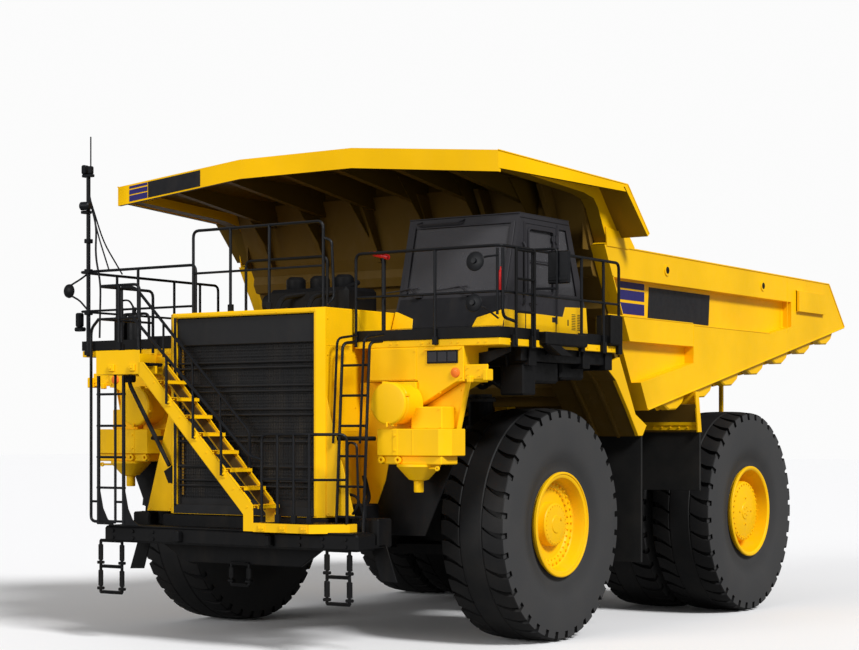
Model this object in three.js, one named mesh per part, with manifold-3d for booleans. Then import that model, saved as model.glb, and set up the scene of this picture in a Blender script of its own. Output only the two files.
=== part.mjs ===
// Rigid mining dump truck, built as the separate pieces that carry, turn, steer and tip.
// Millimetres, +Z up, ground at z = 0, +X is the truck's left, the front points to -Y.
// Lengthwise places are measured from the front axle; the whole truck is then moved
// so that the middle of its outline stands over the origin.

import * as THREE from 'three';
import { mergeVertices } from 'three/addons/utils/BufferGeometryUtils.js';
import { ConvexGeometry } from 'three/addons/geometries/ConvexGeometry.js';
import Module from 'manifold-3d';

const wasm = await Module();
wasm.setup();

// ---------------------------------------------------------------- driving dimensions

const FRONT_AXLE_Y = -2927;
const WHEELBASE = 5350;
const GAP = 0.4;
const TYRE_R = 1530;
const TYRE_HALF = 475;
const TYRE_SEGMENTS = 24;
const RIM_SEGMENTS = 20;
const BEAD_R = 648;
const FLANGE_R = 690;
const BARREL_R = 638;
const FRONT_WHEEL_X = 2560;
const KINGPIN_X = 1750;
const REAR_OUTER_X = 2790;
const REAR_INNER_X = 1710;
const STEER_ARM_Y = 760;

const BED_HALF = 3177;
const BED_TOP = 5260;
const BED_TAIL = [9306, 4534];
const BED_TOE = [2098, 3044];
const BED_SHEET_X = 3030;
const BED_HINGE = [6500, 2950];
const HOIST_X = 940;
const HOIST_FOOT = [3950, 1450];
const HOIST_EYE = [5275, 3401];

const DECK_TOP = 3877;
const DECK_HALF = 3447;
const DECK_FRONT = -2241;
const DECK_REAR = 733;
const DECK_IN = 1290;
const HOOD_HALF = 1270;
const HOOD_FRONT = -2884;
const HOOD_REAR = -1000;
const PLATFORM_Y = -3400;
const PLATFORM_Z = 1620;
const LANDING_Z = 3640;

const CAB_IN = 1300;
const CAB_OUT = 2990;
const CAB_WALL = 60;

// ---------------------------------------------------------------- colours

function paint(color, roughness = 0.45, metalness = 0.0) {
  return new THREE.MeshStandardMaterial({ color, roughness, metalness });
}

const YELLOW = paint(0xfcbf10);
const BLACK = paint(0x1c1c1f, 0.6);
const CAB_GREY = paint(0x3b3a3e, 0.5);
const RUBBER = paint(0x2c2c2e, 0.9);
const STEEL = paint(0x8c8c90, 0.35, 0.9);
const GLASS = paint(0x22262a, 0.1);
const SEAT = paint(0x303034, 0.9);

// ---------------------------------------------------------------- shapes

function solid(geometry) {
  geometry.deleteAttribute('normal');
  geometry.deleteAttribute('uv');
  const merged = mergeVertices(geometry, 1e-3);
  const index = merged.index.array;
  return new wasm.Manifold(new wasm.Mesh({
    numProp: 3,
    vertProperties: new Float32Array(merged.attributes.position.array),
    triVerts: new Uint32Array(index),
  }));
}

function box(x0, x1, y0, y1, z0, z1) {
  const geometry = new THREE.BoxGeometry(x1 - x0, y1 - y0, z1 - z0);
  geometry.translate((x0 + x1) / 2, (y0 + y1) / 2, (z0 + z1) / 2);
  return solid(geometry);
}

function extruded(points, depth, matrix) {
  const shape = new THREE.Shape(points.map(([u, v]) => new THREE.Vector2(u, v)));
  const geometry = new THREE.ExtrudeGeometry(shape, { depth, bevelEnabled: false, curveSegments: 8 });
  geometry.applyMatrix4(matrix);
  return solid(geometry);
}

// Side outline in (y, z), as thick as x0 to x1.
function plateX(points, x0, x1) {
  const m = new THREE.Matrix4().set(0, 0, 1, x0, 1, 0, 0, 0, 0, 1, 0, 0, 0, 0, 0, 1);
  return extruded(points, x1 - x0, m);
}

// Front outline in (x, z), as thick as y0 to y1.
function plateY(points, y0, y1) {
  const m = new THREE.Matrix4().set(1, 0, 0, 0, 0, 0, -1, y1, 0, 1, 0, 0, 0, 0, 0, 1);
  return extruded(points, y1 - y0, m);
}

// Plan outline in (x, y), as thick as z0 to z1.
function plateZ(points, z0, z1) {
  return extruded(points, z1 - z0, new THREE.Matrix4().makeTranslation(0, 0, z0));
}

function hull(points) {
  return solid(new ConvexGeometry(points.map((p) => new THREE.Vector3(...p))));
}

// A flat-sided bar between two places, each given as the corners of its end.
function rod(a, b, radius, sides = 8, radiusB = radius) {
  const from = new THREE.Vector3(...a);
  const to = new THREE.Vector3(...b);
  const along = to.clone().sub(from);
  const geometry = new THREE.CylinderGeometry(radiusB, radius, along.length(), sides);
  const turn = new THREE.Quaternion().setFromUnitVectors(new THREE.Vector3(0, 1, 0), along.clone().normalize());
  geometry.applyQuaternion(turn);
  geometry.translate(...from.add(to).multiplyScalar(0.5).toArray());
  return solid(geometry);
}

function join(parts) {
  return parts.reduce((whole, part) => whole.add(part));
}

// Bars joined end to end along a route, each run on a little past the corner.
function pipe(points, radius, sides = 4) {
  const bars = [];
  for (let i = 0; i + 1 < points.length; i += 1) {
    const a = new THREE.Vector3(...points[i]);
    const b = new THREE.Vector3(...points[i + 1]);
    const step = b.clone().sub(a).normalize().multiplyScalar(radius * 0.7);
    if (i > 0) a.sub(step);
    if (i + 2 < points.length) b.add(step);
    bars.push(rod(a.toArray(), b.toArray(), radius, sides));
  }
  return join(bars);
}

// A ring or drum turned about the X axis: profile in (radius, x), counter-clockwise.
// A flat of the outline points straight down.
function turnedX(profile, centre, segments = TYRE_SEGMENTS) {
  const points = profile.map(([r, x]) => new THREE.Vector2(r, x));
  const geometry = new THREE.LatheGeometry(points, segments, Math.PI / segments);
  const m = new THREE.Matrix4().set(0, 1, 0, centre[0], 0, 0, 1, centre[1], 1, 0, 0, centre[2], 0, 0, 0, 1);
  geometry.applyMatrix4(m);
  return solid(geometry);
}

function drumX(x0, x1, y, z, radius, segments = 16) {
  return turnedX([[0, x0], [radius, x0], [radius, x1], [0, x1]], [0, y, z], segments);
}

function mirror(part) {
  return part.mirror([1, 0, 0]);
}

function lineAt([y0, z0], [y1, z1], y) {
  return z0 + ((z1 - z0) * (y - y0)) / (y1 - y0);
}

const floorLine = (y) => lineAt(BED_TOE, BED_TAIL, y);
const frontPlane = (z) => 840 + 0.568 * (BED_TOP - z);

const truck = new THREE.Group();
truck.position.y = FRONT_AXLE_Y;

function add(name, part, material) {
  const mesh = part.getMesh();
  const geometry = new THREE.BufferGeometry();
  geometry.setAttribute('position', new THREE.BufferAttribute(new Float32Array(mesh.vertProperties), 3));
  geometry.setIndex(new THREE.BufferAttribute(new Uint32Array(mesh.triVerts), 1));
  const piece = new THREE.Mesh(geometry, material);
  piece.name = name;
  truck.add(piece);
}

// The same piece on both sides: the left one is drawn, the right one mirrored.
function addPair(name, part, material) {
  add(`left_${name}`, part, material);
  add(`right_${name}`, mirror(part), material);
}

// ---------------------------------------------------------------- chassis

function frame() {
  const outline = [
    [-2850, 1290], [-1200, 1190], [4050, 1190], [4350, 1750], [4700, 2250], [6200, 2300],
    [6680, 2700], [6720, 3200], [5500, 3230], [4300, 3190], [2500, 2820], [2200, 2450],
    [1400, 1900], [-600, 1800], [-2850, 1640],
  ];
  const rail = plateX(outline, 430, 650);
  const cross = [
    [-2500, 1480, 120], [1900, 1290, 90], [3500, 2000, 180], [BED_HINGE[0], BED_HINGE[1], 110],
  ];
  const bars = cross.map(([y, z, r]) => rod([-500, y, z], [500, y, z], r, 12));
  const pin = rod([-830, ...BED_HINGE], [830, ...BED_HINGE], 95, 16);
  const collar = box(640, 1700, -120, 120, 2480, 2760);
  const riser = plateX([[-260, 1800], [260, 1800], [200, 2760], [-200, 2760]], 430, 650);
  const hoistFoot = join([
    box(640, 770, HOIST_FOOT[0] - 120, HOIST_FOOT[0] + 120, HOIST_FOOT[1] - 120, HOIST_FOOT[1] + 120),
    rod([640, ...HOIST_FOOT], [HOIST_X + 110, ...HOIST_FOOT], 60, 12),
  ]);
  const rearMount = box(640, 900, 5560, 5860, 2560, 2760);
  const side = join([rail, collar, riser, hoistFoot, rearMount, strutTube(), lowerArm()]).subtract(strutBore());
  return join([side, mirror(side), ...bars, pin]);
}

function bumper() {
  const beam = box(-2070, 2070, -3250, -2850 - GAP, 1300, 1510);
  const sill = box(-1350, 1350, -2899, -2850 - GAP, 1500, 1670);
  const guard = hull([
    [-1350, -2950, 1310], [1350, -2950, 1310], [-900, -2900, 1050], [900, -2900, 1050],
    [-1350, -2860, 1310], [1350, -2860, 1310], [-900, -2860, 1050], [900, -2860, 1050],
  ]);
  const steps = [
    ladder(1640, 2000, -3200, 650, 1310, 3), ladder(-2040, -1640, -3200, 620, 1310, 3),
    ladder(-170, 160, -2905, 775, 1070, 2),
  ];
  return join([beam, sill, guard, ...steps]);
}

function engine() {
  return box(-400, 400, -2000, -250, 1500, 3300);
}

function transmission() {
  const gearbox = box(-380, 380, 250, 1450, 1350, 2150);
  const shaft = rod([0, 1440, 1560], [0, 4760, 1560], 110, 12);
  return join([gearbox, shaft]);
}

function strutTube() {
  return rod([KINGPIN_X, 0, 2250], [KINGPIN_X, 0, 3150], 170, 16);
}

function strutBore() {
  return rod([KINGPIN_X, 0, 2200], [KINGPIN_X, 0, 2900], 130, 16);
}

function lowerArm() {
  const arm = plateZ([[500, -480], [1820, -90], [1820, 90], [500, 480]], 1090, 1225);
  return arm.subtract(plateZ([[760, -300], [1350, -60], [1350, 60], [760, 300]], 1000, 1300));
}

function rearAxle() {
  const half = [[540, 190], [330, 520], [330, 1150], [230, 1150], [230, 2650], [0, 2650]];
  const flip = half.map(([r, x]) => [r, -x]).reverse();
  const housing = turnedX([...flip, ...half], [0, WHEELBASE, TYRE_R], 20);
  const pinion = rod([0, 4760 + GAP, 1560], [0, 5000, 1560], 130, 12);
  const link = rod([320, 5050, 1400], [170, 3650, 1330], 90, 10);
  const linkEnd = rod([-260, 3650, 1330], [260, 3650, 1330], 80, 10);
  const seat = box(680, 940, 5480, 5720, 1700, 1900);
  const struts = join([seat, rearStrut()]);
  return join([housing, pinion, link, mirror(link), linkEnd, struts, mirror(struts)]);
}

function rearStrut() {
  const barrel = rod([800, 5600, 1850], [800, 5680, 2330], 125, 16);
  const stem = rod([800, 5660, 2250], [800, 5710, 2600], 90, 16);
  return join([barrel, stem]).subtract(box(640, 960, 5400, 5900, 2560 - GAP, 2700));
}

function fuelTank() {
  return box(700, 1950, 2150, 3140, 1250, 2350);
}

// ---------------------------------------------------------------- wheels

function tyre(x) {
  const w = TYRE_HALF;
  const half = [
    [BEAD_R, w - 95], [FLANGE_R + 4, w - 95], [1000, w - 8], [1300, w],
    [TYRE_R - 36, w - 30], [TYRE_R, w - 75],
  ];
  const flip = half.map(([r, u]) => [r, -u]);
  const grow = 1 / Math.cos(Math.PI / TYRE_SEGMENTS);
  const profile = [...flip, ...half.reverse()].map(([r, u]) => [r > 1400 ? r * grow : r, u]);
  profile.push(profile[0]);
  return turnedX(profile, [x, 0, 0]);
}

function frontRim() {
  const profile = [
    [206, -150], [330, -150], [330, 30], [600, 60], [600, -395], [FLANGE_R, -395],
    [FLANGE_R, -383], [BARREL_R, -383], [BARREL_R, 383], [FLANGE_R, 383], [FLANGE_R, 400], [625, 400],
    [590, 150], [320, 110], [320, 190], [0, 190], [0, 60], [206, 60], [206, -150],
  ];
  return turnedX(profile, [FRONT_WHEEL_X, 0, 0], RIM_SEGMENTS);
}

function rearRim() {
  const inner = REAR_INNER_X - REAR_OUTER_X;
  const profile = [
    [240, inner - 330], [400, inner - 330], [400, inner - 60], [600, inner - 20],
    [600, inner - 395], [FLANGE_R, inner - 395], [FLANGE_R, inner - 383],
    [BARREL_R, inner - 383], [BARREL_R, inner + 383], [FLANGE_R, inner + 383], [FLANGE_R, -383],
    [BARREL_R, -383], [BARREL_R, 383],
    [FLANGE_R, 383], [FLANGE_R, 400], [625, 400], [600, -120], [420, -150], [380, 200], [300, 260],
    [0, 260], [0, -40], [240, -40], [240, inner - 330],
  ];
  return turnedX(profile, [REAR_OUTER_X, 0, 0], RIM_SEGMENTS);
}

// ---------------------------------------------------------------- steering

function knuckle() {
  const post = box(KINGPIN_X - 150, KINGPIN_X + 150, -170, 170, 1240, 1850);
  const rodUp = rod([KINGPIN_X, 0, 1800], [KINGPIN_X, 0, 2600], 118, 16);
  const spindle = drumX(KINGPIN_X, FRONT_WHEEL_X + 40, 0, TYRE_R, 195);
  const flange = drumX(KINGPIN_X + 120, KINGPIN_X + 260, 0, TYRE_R, 300);
  const arm = plateZ([
    [KINGPIN_X - 120, 100], [KINGPIN_X + 120, 100], [KINGPIN_X + 80, STEER_ARM_Y + 60],
    [KINGPIN_X - 80, STEER_ARM_Y + 60],
  ], 1240, 1320);
  const boss = rod([KINGPIN_X, STEER_ARM_Y, 1135], [KINGPIN_X, STEER_ARM_Y, 1280], 60, 12);
  return join([post, rodUp, spindle, flange, arm, boss]);
}

function tieRod() {
  const bar = rod([-KINGPIN_X, STEER_ARM_Y, 1080], [KINGPIN_X, STEER_ARM_Y, 1080], 42, 12);
  const eye = rod([KINGPIN_X, STEER_ARM_Y, 1030], [KINGPIN_X, STEER_ARM_Y, 1130], 75, 12);
  return join([bar, eye, mirror(eye)]);
}

// ---------------------------------------------------------------- hoist

const hoistRun = new THREE.Vector2(HOIST_EYE[0] - HOIST_FOOT[0], HOIST_EYE[1] - HOIST_FOOT[1]);
const hoistLength = hoistRun.length();
const hoistDir = hoistRun.clone().normalize();

function alongHoist(d) {
  return [HOIST_X, HOIST_FOOT[0] + hoistDir.x * d, HOIST_FOOT[1] + hoistDir.y * d];
}

function hoistBarrel() {
  const tube = rod(alongHoist(110), alongHoist(hoistLength - 230), 130, 16);
  const eye = drumX(HOIST_X - 90, HOIST_X + 90, ...HOIST_FOOT, 130, 16);
  const bore = rod(alongHoist(150), alongHoist(hoistLength), 98, 16);
  const pinBore = drumX(HOIST_X - 200, HOIST_X + 200, ...HOIST_FOOT, 66, 16);
  return join([tube, eye]).subtract(bore).subtract(pinBore);
}

function hoistRod() {
  const bar = rod(alongHoist(170), alongHoist(hoistLength - 60), 88, 16);
  const eye = drumX(HOIST_X - 75, HOIST_X + 75, ...HOIST_EYE, 105, 16);
  return join([bar, eye]);
}

// ---------------------------------------------------------------- dump bed

function bedSide() {
  const crease = (y) => 3423 + 0.1946 * (y - 1857);
  const outline = [
    [frontPlane(BED_TOE[1]), BED_TOE[1]], BED_TAIL, [8633, 5226], [frontPlane(BED_TOP), BED_TOP],
  ];
  const upper = [
    [400, 4840], [400, 4318], [3524, 4318], [6200, 4290], [7063, crease(7063)], [7063, 4840],
  ];
  const lower = [[400, 3990], [400, crease(400)], [3524, crease(3524)], [3524, 3990]];
  const whole = plateX(outline, 2960, BED_HALF);
  const tailBox = plateX([[7250, 4700], [8350, 4700], [8350, 5030], [7250, 5030]], BED_HALF - 20, BED_HALF + 60);
  return whole.subtract(plateX(upper, BED_SHEET_X, 3300)).subtract(plateX(lower, BED_SHEET_X, 3300))
    .add(tailBox);
}

function bedFloor() {
  const e = 2960 - GAP;
  const sheet = plateX([
    [2150, floorLine(2150) + 200], [9250, floorLine(9250) + 200], [9250, floorLine(9250) + 280],
    [2110, floorLine(2110) + 280],
  ], -e, e);
  const parts = [sheet];
  for (let i = 0; i < 7; i += 1) {
    const y = 2600 + i * 930;
    const z = floorLine(y + 330);
    parts.push(plateX([
      [y, floorLine(y) + 240], [y + 60, z - 100], [y + 180, z - 170], [y + 520, z - 120],
      [y + 640, z - 20], [y + 700, floorLine(y + 700) + 240],
    ], -e, e));
  }
  const sill = plateX([
    [2450, floorLine(2450) + 240], [2450, floorLine(2450) - 240], [6700, floorLine(6700) - 240],
    [7600, floorLine(7600) - 120], [7600, floorLine(7600) + 240],
  ], 430, 650);
  const ear = plateX([
    [BED_HINGE[0] - 500, floorLine(6000) + 100], [BED_HINGE[0] - 160, BED_HINGE[1] - 60],
    [BED_HINGE[0] - 60, BED_HINGE[1] - 180], [BED_HINGE[0] + 80, BED_HINGE[1] - 180],
    [BED_HINGE[0] + 180, BED_HINGE[1] - 40], [BED_HINGE[0] + 600, floorLine(7100) + 100],
  ], 670, 800).subtract(drumX(600, 900, ...BED_HINGE, 103, 16));
  const cheek = (x0) => plateX([
    [HOIST_EYE[0] - 320, floorLine(HOIST_EYE[0]) + 60], [HOIST_EYE[0] - 130, HOIST_EYE[1] - 100],
    [HOIST_EYE[0] + 130, HOIST_EYE[1] - 100], [HOIST_EYE[0] + 420, floorLine(HOIST_EYE[0]) + 60],
  ], x0, x0 + 60);
  const side = join([sill, ear, cheek(HOIST_X - 150), cheek(HOIST_X + 90), rockEjector()]);
  return join([...parts, side, mirror(side)]);
}

function bedFrontWall() {
  const e = 2960 - GAP;
  const inner = 110;
  const zFloor = 3320 + GAP;
  const wall = plateX([
    [frontPlane(3070), 3070], [frontPlane(3070) + 40, 3070], [frontPlane(zFloor) + inner, zFloor + 60],
    [frontPlane(BED_TOP) + inner, BED_TOP], [620, 6100], [500, 6100], [frontPlane(BED_TOP), BED_TOP],
  ], -e, e);
  return wall.subtract(plateX([
    [2120, 2900], [2120, floorLine(2120) + 285], [2600, floorLine(2600) + 285], [2600, 2900],
  ], -4000, 4000)).subtract(plateX([
    [2060, 2900], [2060, floorLine(2060) + 285], [2200, floorLine(2200) + 285], [2200, 2900],
  ], -4000, 4000));
}

function canopy() {
  const slab = (pts, t) => hull([...pts, ...pts.map(([x, y, z]) => [x, y, z - t])]);
  const centre = slab([[-932, -1800, 6410], [932, -1800, 6410], [932, 700, 6410], [-932, 700, 6410]], 80);
  const wing = slab([[931, -1825, 6410], [3164, -1825, 6200], [3560, 800, 6030], [931, 800, 6410]], 80);
  const lipMid = box(-932, 932, -1825, -1765, 6150, 6410);
  const lip = hull([
    [931, -1825, 6410], [931, -1825, 6150], [3164, -1825, 6200], [3164, -1825, 5935],
    [931, -1765, 6410], [931, -1765, 6150], [3164, -1765, 6200], [3164, -1765, 5935],
  ]);
  const sideLip = hull([
    [3100, -1825, 6200], [3164, -1825, 6200], [3100, -1825, 5980], [3164, -1825, 5980],
    [3500, 800, 6030], [3560, 800, 6030], [3500, 800, 5930], [3560, 800, 5930],
  ]);
  const ear = hull([
    [3150, 760, 6060], [3560, 760, 6030], [3150, 700, 6020], [3560, 700, 5990],
    [3150, 1350, 5420], [3590, 1350, 5420], [3150, 1300, 5380], [3590, 1300, 5380],
  ]);
  const support = plateX([
    [860, BED_TOP + 12], [930, 5300], [680, 5740], [560, 5850], [300, 5900], [-1750, 6010],
    [-1750, 6130], [900, 6020], [1560, 5440], [1720, BED_TOP + 30], [1720, BED_TOP + 12],
  ], 2975, BED_HALF - 10);
  const beam = (x, z) => hull([
    [x - 50, -1780, z - 110], [x + 50, -1780, z - 110], [x - 50, -1780, z], [x + 50, -1780, z],
    [x - 50, 560, z - 420], [x + 50, 560, z - 420], [x - 50, 660, z], [x + 50, 660, z],
  ]);
  const side = join([wing, lip, sideLip, ear, support, beam(450, 6340), beam(1350, 6300), beam(2250, 6200)]);
  const curtain = plateY([
    [-2940, 6000], [2940, 6000], [2940, 6120], [931, 6380], [-931, 6380], [-2940, 6120],
  ], 560, 620);
  const top = join([centre, lipMid, curtain, side, mirror(side)]);
  const cut = plateX([
    [frontPlane(BED_TOP) - 2, BED_TOP], [500 - 3, 6101], [2000, 6101], [2000, BED_TOP],
  ], -2960, 2960);
  return top.subtract(cut);
}

function frontMudguard() {
  const face = [[950, 3630], [1100, 3570], [1300, 3440], [1680, 3030], [1960, 2690]];
  const back = [[2030, 2690], [1740, 3060], [1360, 3480], [1160, 3620], [1010, 3690]];
  const shield = plateX([...face, ...back], 2060, 3130);
  const edge = plateX([
    [870, 3630], [1020, 3570], [1230, 3440], [1600, 3030], [1880, 2690], [1990, 2690], [2120, 2835],
    [1790, 2985], [1330, 3757],
  ], 3090, 3140);
  const flap = box(2060, 3130, 1985, 2012, 930, 2760);
  const stay = (z) => plateX([
    [1500, z], [frontPlane(z) - 1, z], [frontPlane(z + 80) - 1, z + 80], [1450, z + 80],
  ], 2500, 2600);
  return join([shield, edge, flap, stay(3200)]);
}

function rearMudguard() {
  const plate = plateX([[3380, 3330], [3560, 2740], [3600, 2740], [3440, 3330]], 1300, 3250);
  const flap = box(1300, 3250, 3585, 3612, 1890, 2760);
  return join([plate, flap]).subtract(plateX([[3000, floorLine(3000) - 180], [4000, floorLine(4000) - 180],
    [4000, 4000], [3000, 4000]], 0, 4000));
}

function rockEjector() {
  return box(2222, 2278, 6380, 6440, 2450, 4050);
}

// ---------------------------------------------------------------- hood and decks

function hood() {
  const h = HOOD_HALF;
  const outer = plateZ([
    [-1185, HOOD_FRONT], [1185, HOOD_FRONT], [h, HOOD_FRONT + 60], [h, HOOD_REAR], [-h, HOOD_REAR],
    [-h, HOOD_FRONT + 60],
  ], 1680, 4280);
  const inside = box(-h + 50, h - 50, HOOD_FRONT + 260, HOOD_REAR + 200, 1500, 4230);
  const mouth = box(-1136, 1136, HOOD_FRONT - 100, HOOD_FRONT + 300, 1760, 4223);
  const arch = plateX([[-1560, 1500], [-1560, 2300], [-1200, 2900], [-500, 2900], [-500, 1500]], -2000, 2000);
  return outer.subtract(inside).subtract(mouth).subtract(arch);
}

function grille() {
  const frameBars = [];
  const y0 = HOOD_FRONT + 40;
  frameBars.push(box(-1130, 1130, y0, y0 + 60, 3850, 4215));
  frameBars.push(box(-1130, 1130, y0 + 20, y0 + 50, 1770, 4210));
  for (let i = 0; i < 7; i += 1) {
    const z = 2050 + i * 260;
    frameBars.push(box(-1130, 1130, y0 - 30, y0 + 30, z, z + 40));
  }
  return join(frameBars);
}

function deck() {
  const plate = box(DECK_IN, DECK_HALF, DECK_FRONT, DECK_REAR, 3790, DECK_TOP);
  const lip = box(DECK_IN, DECK_HALF, DECK_FRONT, DECK_FRONT + 40, DECK_TOP - 1, DECK_TOP + 130);
  const sideLip = box(DECK_HALF - 40, DECK_HALF, DECK_FRONT, DECK_REAR, DECK_TOP - 1, DECK_TOP + 130);
  const beam = box(DECK_IN, DECK_HALF - 500, -150, 150, 3500, 3800);
  return join([plate, lip, sideLip, beam, lampBox()]);
}

function lampBox() {
  return plateY([
    [1491, 3800], [3020, 3800], [3020, 3360], [2900, 3350], [2250, 3050], [2250, 3370], [1491, 3370],
  ], DECK_FRONT, DECK_FRONT + 650);
}

function airCleaner() {
  const drum = rod([2090, -2640, 3090], [2090, DECK_FRONT - GAP, 3090], 262, 20);
  const back = box(1830, 2240, -2560, DECK_FRONT - GAP, 2770, 3360);
  const tank = box(1790, 2900, -2600, -2160, 2450, 2780);
  const plinth = box(1850, 2800, -2540, -2200, 2340, 2460);
  const funnel = rod([2380, -2400, 2140], [2380, -2400, 2345], 130, 12, 270);
  const spout = rod([2380, -2400, 2010], [2380, -2400, 2150], 55, 12);
  return join([drum, back, tank, plinth, funnel, spout]);
}

// ---------------------------------------------------------------- cab

const CAB_SIDE = [
  [-1020, 5519], [200, 5519], [640, 4400], [730, DECK_TOP + GAP], [-1470, DECK_TOP + GAP],
  [-1440, 4070], [-1290, 4470],
];

function shrink(points, by) {
  const cy = -380;
  const cz = 4700;
  return points.map(([y, z]) => [y + Math.sign(cy - y) * by, z + Math.sign(cz - z) * by]);
}

const DOOR = [[-900, 4010], [-900, 5400], [-130, 5400], [-130, 4010]];

function cab() {
  const w = CAB_WALL;
  const shell = plateX(CAB_SIDE, CAB_IN, CAB_OUT).subtract(plateX(shrink(CAB_SIDE, w), CAB_IN + w, CAB_OUT - w));
  const screen = hull([
    [CAB_IN + 110, -2000, 4520], [CAB_OUT - 110, -2000, 4520], [CAB_IN + 110, -2000, 5390],
    [CAB_OUT - 110, -2000, 5390], [CAB_IN + 110, -500, 4520], [CAB_OUT - 110, -500, 4520],
    [CAB_IN + 110, -500, 5390], [CAB_OUT - 110, -500, 5390],
  ]);
  const doorway = plateX(DOOR, CAB_OUT - 200, CAB_OUT + 100);
  const rightWindow = plateX([[-1120, 4540], [-880, 5390], [130, 5390], [420, 4540]], CAB_IN - 100, CAB_IN + 200);
  const quarter = plateX([[-50, 4540], [-50, 5390], [130, 5390], [420, 4540]], CAB_OUT - 200, CAB_OUT + 100);
  const rear = box(CAB_IN + 150, CAB_OUT - 150, 100, 1200, 4600, 5350);
  return shell.subtract(screen).subtract(doorway).subtract(rightWindow).subtract(quarter).subtract(rear);
}

function cabDoor() {
  const leaf = plateX([[-894, 4016], [-894, 5394], [-136, 5394], [-136, 4016]], CAB_OUT - CAB_WALL, CAB_OUT);
  const hole = plateX([[-820, 4560], [-820, 5320], [-210, 5320], [-210, 4560]], CAB_OUT - 200, CAB_OUT + 100);
  return leaf.subtract(hole);
}

function windscreen() {
  return hull([
    [CAB_IN + 112, -1240, 4522], [CAB_OUT - 112, -1240, 4522], [CAB_IN + 112, -1030, 5388], [CAB_OUT - 112, -1030, 5388],
    [CAB_IN + 112, -1252, 4522], [CAB_OUT - 112, -1252, 4522], [CAB_IN + 112, -1042, 5388], [CAB_OUT - 112, -1042, 5388],
  ]);
}

function rearGlass() {
  return hull([
    [CAB_IN + 152, 545, 4602], [CAB_OUT - 152, 545, 4602], [CAB_IN + 152, 250, 5348], [CAB_OUT - 152, 250, 5348],
    [CAB_IN + 152, 533, 4602], [CAB_OUT - 152, 533, 4602], [CAB_IN + 152, 238, 5348], [CAB_OUT - 152, 238, 5348],
  ]);
}

function seat(x) {
  const base = box(x - 180, x + 180, -380, 20, DECK_TOP + GAP + CAB_WALL + GAP, 4250);
  const cushion = box(x - 250, x + 250, -450, 80, 4240, 4380);
  const back = hull([
    [x - 240, 20, 4360], [x + 240, 20, 4360], [x - 240, 120, 4360], [x + 240, 120, 4360],
    [x - 200, 120, 5050], [x + 200, 120, 5050], [x - 200, 200, 5050], [x + 200, 200, 5050],
  ]);
  return join([base, cushion, back]);
}

function dashboard() {
  const desk = hull([
    [CAB_IN + 70, -1220, 4150], [CAB_OUT - 70, -1220, 4150], [CAB_IN + 70, -1200, 4450], [CAB_OUT - 70, -1200, 4450],
    [CAB_IN + 70, -950, 4150], [CAB_OUT - 70, -950, 4150], [CAB_IN + 70, -980, 4430], [CAB_OUT - 70, -980, 4430],
  ]);
  const column = rod([2500, -1000, 4200], [2500, -760, 4560], 45, 8);
  const wheel = rod([2500, -770, 4545], [2500, -750, 4575], 220, 16);
  return join([desk, column, wheel]);
}

// ---------------------------------------------------------------- access

function landing() {
  const floor = box(-2065, -1275, PLATFORM_Y, DECK_FRONT - GAP, LANDING_Z - 70, LANDING_Z);
  const front = box(-2065, -1300, PLATFORM_Y, PLATFORM_Y + 40, 3490, 3800);
  const side = box(-2065, -2025, PLATFORM_Y, DECK_FRONT - GAP, 3490, 3800);
  return join([floor, front, side]);
}

function stairs() {
  const outline = [
    [-1274, 3640], [-1274, 3440], [430, 1715], [430, 1510 + GAP], [583 - GAP, 1510 + GAP], [583 - GAP, 1860], [520, 1890],
  ];
  const parts = [plateY(outline, PLATFORM_Y, PLATFORM_Y + 40), plateY(outline, -2960, -2920)];
  for (let i = 0; i < 8; i += 1) {
    const x = -944 + i * 219.9;
    const z = 3403 - i * 223.5;
    parts.push(box(x - 140, x + 60, PLATFORM_Y + 20, -2940, z - 35, z));
  }
  return join(parts);
}

function platform() {
  const plan = [
    [583, PLATFORM_Y], [1458, PLATFORM_Y], [1810, -3050], [1810, -2900], [583, -2900],
  ];
  const inner = [[623, -3360], [1440, -3360], [1770, -3035], [1770, -2940], [623, -2940]];
  return plateZ(plan, 1510 + GAP, PLATFORM_Z).subtract(plateZ(inner, 1400, PLATFORM_Z - 40));
}

function ladder(x0, x1, y, z0, z1, rungs, radius = 22) {
  const parts = [rod([x0, y, z0], [x0, y, z1], radius, 6), rod([x1, y, z0], [x1, y, z1], radius, 6)];
  for (let i = 0; i < rungs; i += 1) {
    const z = z0 + 30 + ((z1 - z0 - 60) * i) / (rungs - 1);
    parts.push(rod([x0, y, z], [x1, y, z], radius * 0.7, 6));
  }
  return join(parts);
}

// Posts from a foot height up to a top rail and one middle rail along a route.
function guard(route, foot, top, middle, radius = 22) {
  const parts = [
    pipe(route.map(([x, y]) => [x, y, top]), radius),
    pipe(route.map(([x, y]) => [x, y, middle]), radius * 0.8),
  ];
  route.forEach(([x, y]) => parts.push(rod([x, y, foot], [x, y, top], radius, 4)));
  return join(parts);
}

function deckRails() {
  const x = DECK_HALF + 24 + GAP;
  const y = DECK_FRONT - 24 - GAP;
  const rails = guard([[DECK_IN + 40, y], [2370, y], [x, y], [x, -1300], [x, -300], [x, 700]], 3800, 4980, 4430);
  return join([rails, sideMirror()]);
}

function hoodRails() {
  return guard([[-950, -2750], [-320, -2750], [320, -2750], [1180, -2750]], 4280 + GAP, 5366, 4810);
}

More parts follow.
